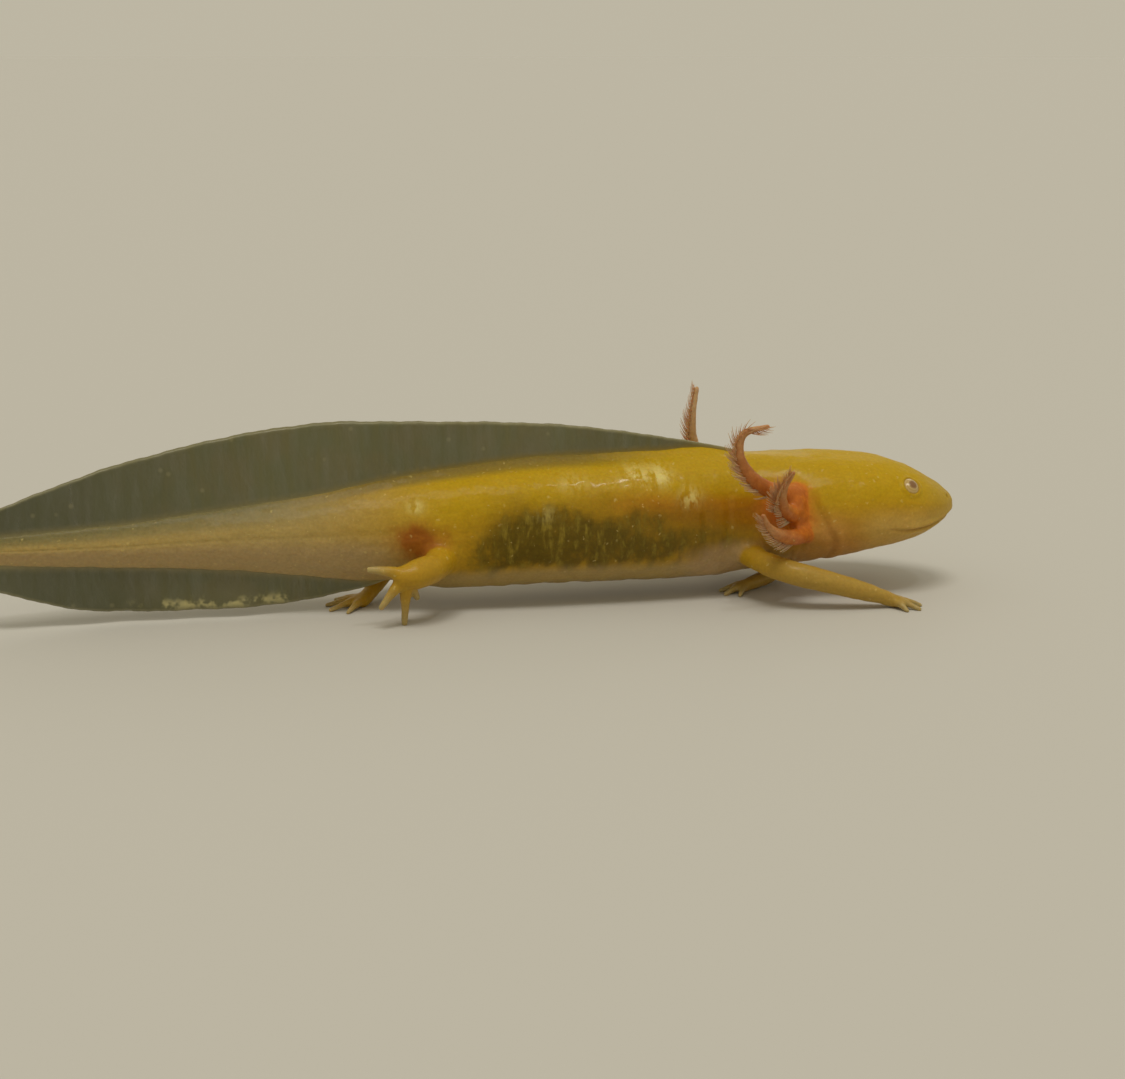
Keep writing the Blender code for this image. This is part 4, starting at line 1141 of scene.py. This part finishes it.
def filamentTree(material):
    # the tree, and the value of each input by its socket's identifier
    tree = bpy.data.node_groups.new("gill_filaments", "GeometryNodeTree")
    add = partial(addNode, tree)
    wanted = [("Per Row", "Int", filaments["perRow"]), ("Long", "Float", filaments["long"]),
              ("Short", "Float", filaments["short"]), ("Radius", "Float", filaments["radius"]),
              ("Spread", "Float", filaments["spread"]), ("Lean", "Float", filaments["lean"]),
              ("Seed", "Int", filaments["seed"]), ("Material", "Material", material)]
    tree.interface.new_socket("Geometry", in_out="INPUT", socket_type="NodeSocketGeometry")
    values = {}
    for name, kind, value in wanted:
        made = tree.interface.new_socket(name, in_out="INPUT", socket_type="NodeSocket" + kind)
        values[made.identifier] = value
    tree.interface.new_socket("Geometry", in_out="OUTPUT", socket_type="NodeSocketGeometry")
    given = add("NodeGroupInput").outputs

    # one filament: a thread of unit length that bends towards X, its thickness set by the taper
    end = add("ShaderNodeCombineXYZ", {0: given["Lean"], 2: 0.9})
    thread = add("GeometryNodeCurveQuadraticBezier", {
        "Resolution": 9, "Start": (0.0, 0.0, 0.0), "Middle": (0.06, 0.0, 0.55), "End": end})
    along = add("GeometryNodeSplineParameter")
    taper = add("ShaderNodeMapRange", {
        "Value": along, "From Min": 0.25, "From Max": 1.0, "To Min": 1.0, "To Max": 0.28}, **smooth)
    ring = add("GeometryNodeCurvePrimitiveCircle", {"Resolution": 7, "Radius": 1.0})
    width = add("ShaderNodeMath", {0: taper, 1: given["Radius"]}, operation="MULTIPLY")
    solid = add("GeometryNodeCurveToMesh", {
        "Curve": thread, "Profile Curve": ring, "Scale": width, "Fill Caps": True})

    line = add("GeometryNodeMeshToCurve", {0: given["Geometry"]})
    line = add("GeometryNodeResampleCurve", {"Curve": line, "Count": given["Per Row"]})
    share = add("GeometryNodeInputNamedAttribute", {0: "share"}, data_type="FLOAT")
    rear = add("GeometryNodeInputNamedAttribute", {0: "rear"}, data_type="FLOAT_VECTOR")
    tangent = add("GeometryNodeInputTangent")
    across = add("ShaderNodeVectorMath", {0: tangent, 1: rear}, operation="CROSS_PRODUCT")
    long = add("ShaderNodeMapRange", {
        "Value": share, "From Min": filaments["first"], "To Min": given["Long"], "To Max": given["Short"]})
    both = add("GeometryNodeJoinGeometry")
    for row in (-1, 1):
        seed = add("ShaderNodeMath", {0: given["Seed"], 1: 10.0 * row}, operation="ADD")
        turn = add("FunctionNodeRandomValue", {2: 0.7, 3: 1.3, "Seed": seed})
        turn = add("ShaderNodeMath", {0: turn, 1: given["Spread"]}, operation="MULTIPLY")
        turn = add("ShaderNodeMath", {0: turn, 1: float(row)}, operation="MULTIPLY")
        cosine = add("ShaderNodeMath", {0: turn}, operation="COSINE")
        sine = add("ShaderNodeMath", {0: turn}, operation="SINE")
        back = add("ShaderNodeVectorMath", {0: rear, "Scale": cosine}, operation="SCALE")
        aside = add("ShaderNodeVectorMath", {0: across, "Scale": sine}, operation="SCALE")
        out = add("ShaderNodeVectorMath", {0: back, 1: aside}, operation="ADD")
        way = add("FunctionNodeAlignRotationToVector", {"Vector": out}, axis="Z")
        way = add("FunctionNodeAlignRotationToVector", {"Rotation": way, "Vector": tangent},
                  axis="X", pivot_axis="Z")
        size = add("FunctionNodeRandomValue", {2: 0.75, 3: 1.2, "Seed": seed})
        size = add("ShaderNodeMath", {0: size, 1: long}, operation="MULTIPLY")
        grown = add("GeometryNodeInstanceOnPoints", {
            "Points": line, "Instance": solid, "Rotation": way, "Scale": size})
        setInputs(both, {0: grown})
    real = add("GeometryNodeRealizeInstances", {0: both})
    real = add("GeometryNodeSetMaterial", {"Geometry": real, "Material": given["Material"]})
    add("NodeGroupOutput", {0: real})
    return tree, values


# Gill threads: blood shows through a thin wet skin, redder at the root and paler at the tip
filamentLook = {
    "root": "#ae7642",
    "over": {"tip": ("#c4a884", 1.0)},
    "patch": 1.3,  # mm
    "grain": 0.15,
    "bump": 0.03,
}


def filamentMaterial():
    material, shader, add = newMaterial("gill_filament")
    place, mask = readPiece(add, "tipShare")
    look = filamentLook
    patch = add("ShaderNodeTexNoise", {"Vector": place, "Scale": perMm(look["patch"]), "Detail": 3.0})
    mixed = add("ShaderNodeMath", {0: patch, 1: 0.5, 2: mask["tipShare"]}, operation="MULTIPLY_ADD")
    tip = add("ShaderNodeMapRange", {"Value": mixed, "From Min": 0.3, "From Max": 1.1})
    colour = overlay(add, toLinear(look["root"]), look["over"], {"tip": tip})
    grain = add("ShaderNodeTexNoise", {"Vector": place, "Scale": perMm(look["grain"])})
    bump = add("ShaderNodeBump", {"Strength": 0.3, "Distance": look["bump"] * mm, "Height": grain})
    setInputs(shader, {
        "Base Color": colour, "Roughness": 0.40, "Normal": bump, "IOR": 1.38,
        "Subsurface Weight": 0.35, "Subsurface Radius": (1.0, 0.35, 0.20), "Subsurface Scale": 0.5 * mm,
        "Coat Weight": 0.35, "Coat Roughness": 0.2,
    })
    return material


def makeFilaments():
    piece = addPiece("gill_filaments", stalkLines())
    tree, values = filamentTree(filamentMaterial())
    grow = piece.modifiers.new("grow", "NODES")
    grow.node_group = tree
    for identifier, value in values.items():
        grow[identifier] = value
    mesh = applied(piece)
    for name in ("share", "rear"):
        if name in mesh.attributes:
            mesh.attributes.remove(mesh.attributes[name])
    points = pointsOf(mesh)
    away = np.full(len(points), 9.0)
    for path in gills["paths"].values():
        line = curveThrough(path, np.linspace(0, len(path) - 1, 60))
        which, gap, _, _ = nearLine(points, line, 3.0)
        away[which] = np.minimum(away[which], gap)
    setMask(mesh, "tipShare", np.clip(away / filaments["long"], 0, 1))
    return piece


threads = makeFilaments()
toFrame(threads)
print("filaments done:", len(threads.data.polygons), "faces")


# The eyes

eyes = {
    "bulge": 0.06,  # the cornea stands out by this, mm
    "bulgeWide": 0.55,  # radians
    "hidden": 1.4,  # stands for the distance from the pupil on the ball's rear half
    "pupil": 0.48,  # radius, mm
    "ring": 1.0,
    "rings": 40,
    "sides": 56,
}
# Eye of an albino: no black pigment, a brown rose pupil in a cream and gold ring under a clear wet cornea
eyeLook = {
    "pupil": "#845f38",
    "pupilEdge": "#9c7a4c",
    "iris": "#c0a66a",
    "irisWarm": "#b49354",
    "limbus": "#a8842f",
    "grain": 0.16,  # mm
    "bump": 0.02,
}


def makeEye(name, side):
    middle, out = eyeMiddle(side)
    across = np.cross(out, (0, 0, 1))
    across /= np.linalg.norm(across)
    up = np.cross(across, out)
    turn = 2 * math.pi * np.arange(eyes["sides"]) / eyes["sides"]
    rings, away = [], []
    for k in range(1, eyes["rings"]):
        bend = math.pi * (k / eyes["rings"]) ** 1.3
        reach = face["eyeRadius"] + eyes["bulge"] * math.exp(-((bend / eyes["bulgeWide"]) ** 2))
        around = np.outer(np.cos(turn), across) + np.outer(np.sin(turn), up)
        rings.append(middle + reach * (math.cos(bend) * out + math.sin(bend) * around))
        away.append(np.full(len(turn), reach * math.sin(bend) if bend < math.pi / 2 else eyes["hidden"]))
    poles = [middle + (face["eyeRadius"] + eyes["bulge"]) * out, middle - face["eyeRadius"] * out]
    points, faces = closeRings([poles[0], *rings, poles[1]])
    piece = addPiece(name, meshFrom(name, [(points, faces)]))
    setMask(piece.data, "fromPupil", np.concatenate(([0.0], *away, [eyes["hidden"]])))
    angle = np.concatenate(([0.0], *[np.cos(5 * turn) * 0.5 + np.sin(11 * turn) * 0.5 for _ in rings], [0.0]))
    setMask(piece.data, "spoke", angle)
    toFrame(piece)
    return piece


def eyeMaterial():
    material, shader, add = newMaterial("wet_eye")
    place, mask = readPiece(add, "fromPupil spoke")
    fine = add("ShaderNodeTexNoise", {"Vector": place, "Scale": perMm(eyeLook["grain"]), "Detail": 3.0})
    away = add("ShaderNodeMath", {0: fine, 1: 0.16, 2: -0.08}, operation="MULTIPLY_ADD")
    away = add("ShaderNodeMath", {0: mask["spoke"], 1: 0.02, 2: away}, operation="MULTIPLY_ADD")
    away = add("ShaderNodeMath", {0: mask["fromPupil"], 1: away}, operation="ADD")
    ramp = add("ShaderNodeValToRGB", {0: away})
    stops = [(eyes["pupil"] - 0.10, "pupil"), (eyes["pupil"], "pupilEdge"), (eyes["pupil"] + 0.13, "iris"),
             (0.74, "irisWarm"), (0.86, "iris"), (eyes["ring"] + 0.02, "limbus")]
    elements = ramp.color_ramp.elements
    elements.remove(elements[1])
    for k, (spot, name) in enumerate(stops):
        stop = elements[0] if k == 0 else elements.new(spot)
        stop.position = spot
        stop.color = toLinear(eyeLook[name])
    bump = add("ShaderNodeBump", {"Strength": 0.15, "Distance": eyeLook["bump"] * mm, "Height": fine})
    setInputs(shader, {
        "Base Color": ramp, "Roughness": 0.22, "Normal": bump, "IOR": 1.38,
        "Coat Weight": 0.6, "Coat Roughness": 0.04, "Coat IOR": 1.38,
    })
    return material


eyeSkin = eyeMaterial()
eyePieces = {name: makeEye(name + "_ball", side) for name, side in (("right_eye", -1), ("left_eye", 1))}
for piece in eyePieces.values():
    piece.data.materials.append(eyeSkin)
print("eyes done")


# What each piece stands for, and what it rides on

stands = [
    (skin, "skin", ("head", "torso", "tail", "left_front_leg", "right_front_leg", "left_hind_leg",
                    "right_hind_leg")),
    (finPiece, "fin", ("back_fin", "tail_fin_upper", "tail_fin_lower")),
    (threads, "gill", tuple(gills["paths"])),
    (eyePieces["right_eye"], "eye", ("right_eye",)),
    (eyePieces["left_eye"], "eye", ("left_eye",)),
]
for piece, slotName, nodes in stands:
    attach(piece, "root")
    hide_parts(*nodes)


# A plain pale studio round the model

studio = {
    "floorRadius": 8.0,  # m
    "floor": "#c7c5be",
    "sky": "#fff6dd",
    "skyStrength": 0.51,
    "aim": (0.0, 0.0, 6.9),  # mm, in this script's own coordinates
    "distance": 228.8,
    "elevation": 14.0,
    "turn": 12.0,
    "lens": 64.0,
}


def makeFloor():
    # a round matt floor, wide enough to reach the horizon
    turns = 2 * math.pi * np.arange(64) / 64
    radii = (0.15, 0.4, 1.0, studio["floorRadius"])
    points = [(0.0, 0.0, 0.0)] + [(r * math.cos(t), r * math.sin(t), 0.0) for r in radii for t in turns]
    count = len(turns)
    faces = [(0, 1 + i, 1 + (i + 1) % count) for i in range(count)]
    for k in range(len(radii) - 1):
        a, b = 1 + k * count, 1 + (k + 1) * count
        faces += [(a + i, b + i, b + (i + 1) % count, a + (i + 1) % count) for i in range(count)]
    mesh = bpy.data.meshes.new("floor")
    mesh.from_pydata(points, [], faces)
    made = addPiece("floor", mesh)
    material, shader, _ = newMaterial("matt_card")
    setInputs(shader, {"Base Color": toLinear(studio["floor"]), "Roughness": 0.85, "Specular IOR Level": 0.2})
    mesh.materials.append(material)


lamps = {
    # wide soft daylight from the front left, high up
    "key": {"place": (-0.12, -0.32, 0.94), "energy": 1.0, "angle": 22.0, "colour": "#fffaf0"},
    # a small hard one for wet glints, and a dim one along the back
    "glints": {"place": (0.20, -0.36, 0.91), "energy": 0.18, "angle": 2.5, "colour": "#ffffff"},
    "edge": {"place": (0.35, 0.80, 0.48), "energy": 0.10, "angle": 20.0, "colour": "#ffffff"},
}


def makeStudio():
    makeFloor()
    for name, lamp in lamps.items():
        light = bpy.data.lights.new(name, "SUN")
        light.angle = math.radians(lamp["angle"])
        light.energy = lamp["energy"]
        light.color = toLinear(lamp["colour"])[:3]
        stand = bpy.data.objects.new(name, light)
        stand.location = lamp["place"]
        stand.rotation_euler = (-Vector(lamp["place"])).to_track_quat("-Z", "Y").to_euler()
        bpy.context.scene.collection.objects.link(stand)
    world = bpy.data.worlds.new("studio")
    world.use_nodes = True
    sky = {"Color": toLinear(studio["sky"]), "Strength": studio["skyStrength"]}
    setInputs(world.node_tree.nodes["Background"], sky)
    bpy.context.scene.world = world

    tilt, turn = math.radians(studio["elevation"]), math.radians(studio["turn"])
    right = Vector((math.cos(turn), -math.sin(turn), 0))
    ahead = Vector((math.cos(tilt) * math.sin(turn), math.cos(tilt) * math.cos(turn), -math.sin(tilt)))
    up = right.cross(ahead)
    camera = bpy.data.objects.new("camera", bpy.data.cameras.new("camera"))
    bpy.context.scene.collection.objects.link(camera)
    stand = Matrix((right, up, -ahead)).transposed().to_4x4()
    aim = Vector(np.array(studio["aim"]) + frameShift) * mm
    stand.translation = aim - ahead * studio["distance"] * mm
    camera.matrix_world = stand
    camera.data.lens = studio["lens"]
    camera.data.sensor_width = 36
    camera.data.clip_start = 0.01
    bpy.context.scene.camera = camera
    bpy.context.scene.view_settings.view_transform = "Standard"  # keeps the gold as strong as it is


makeStudio()
print("studio done")
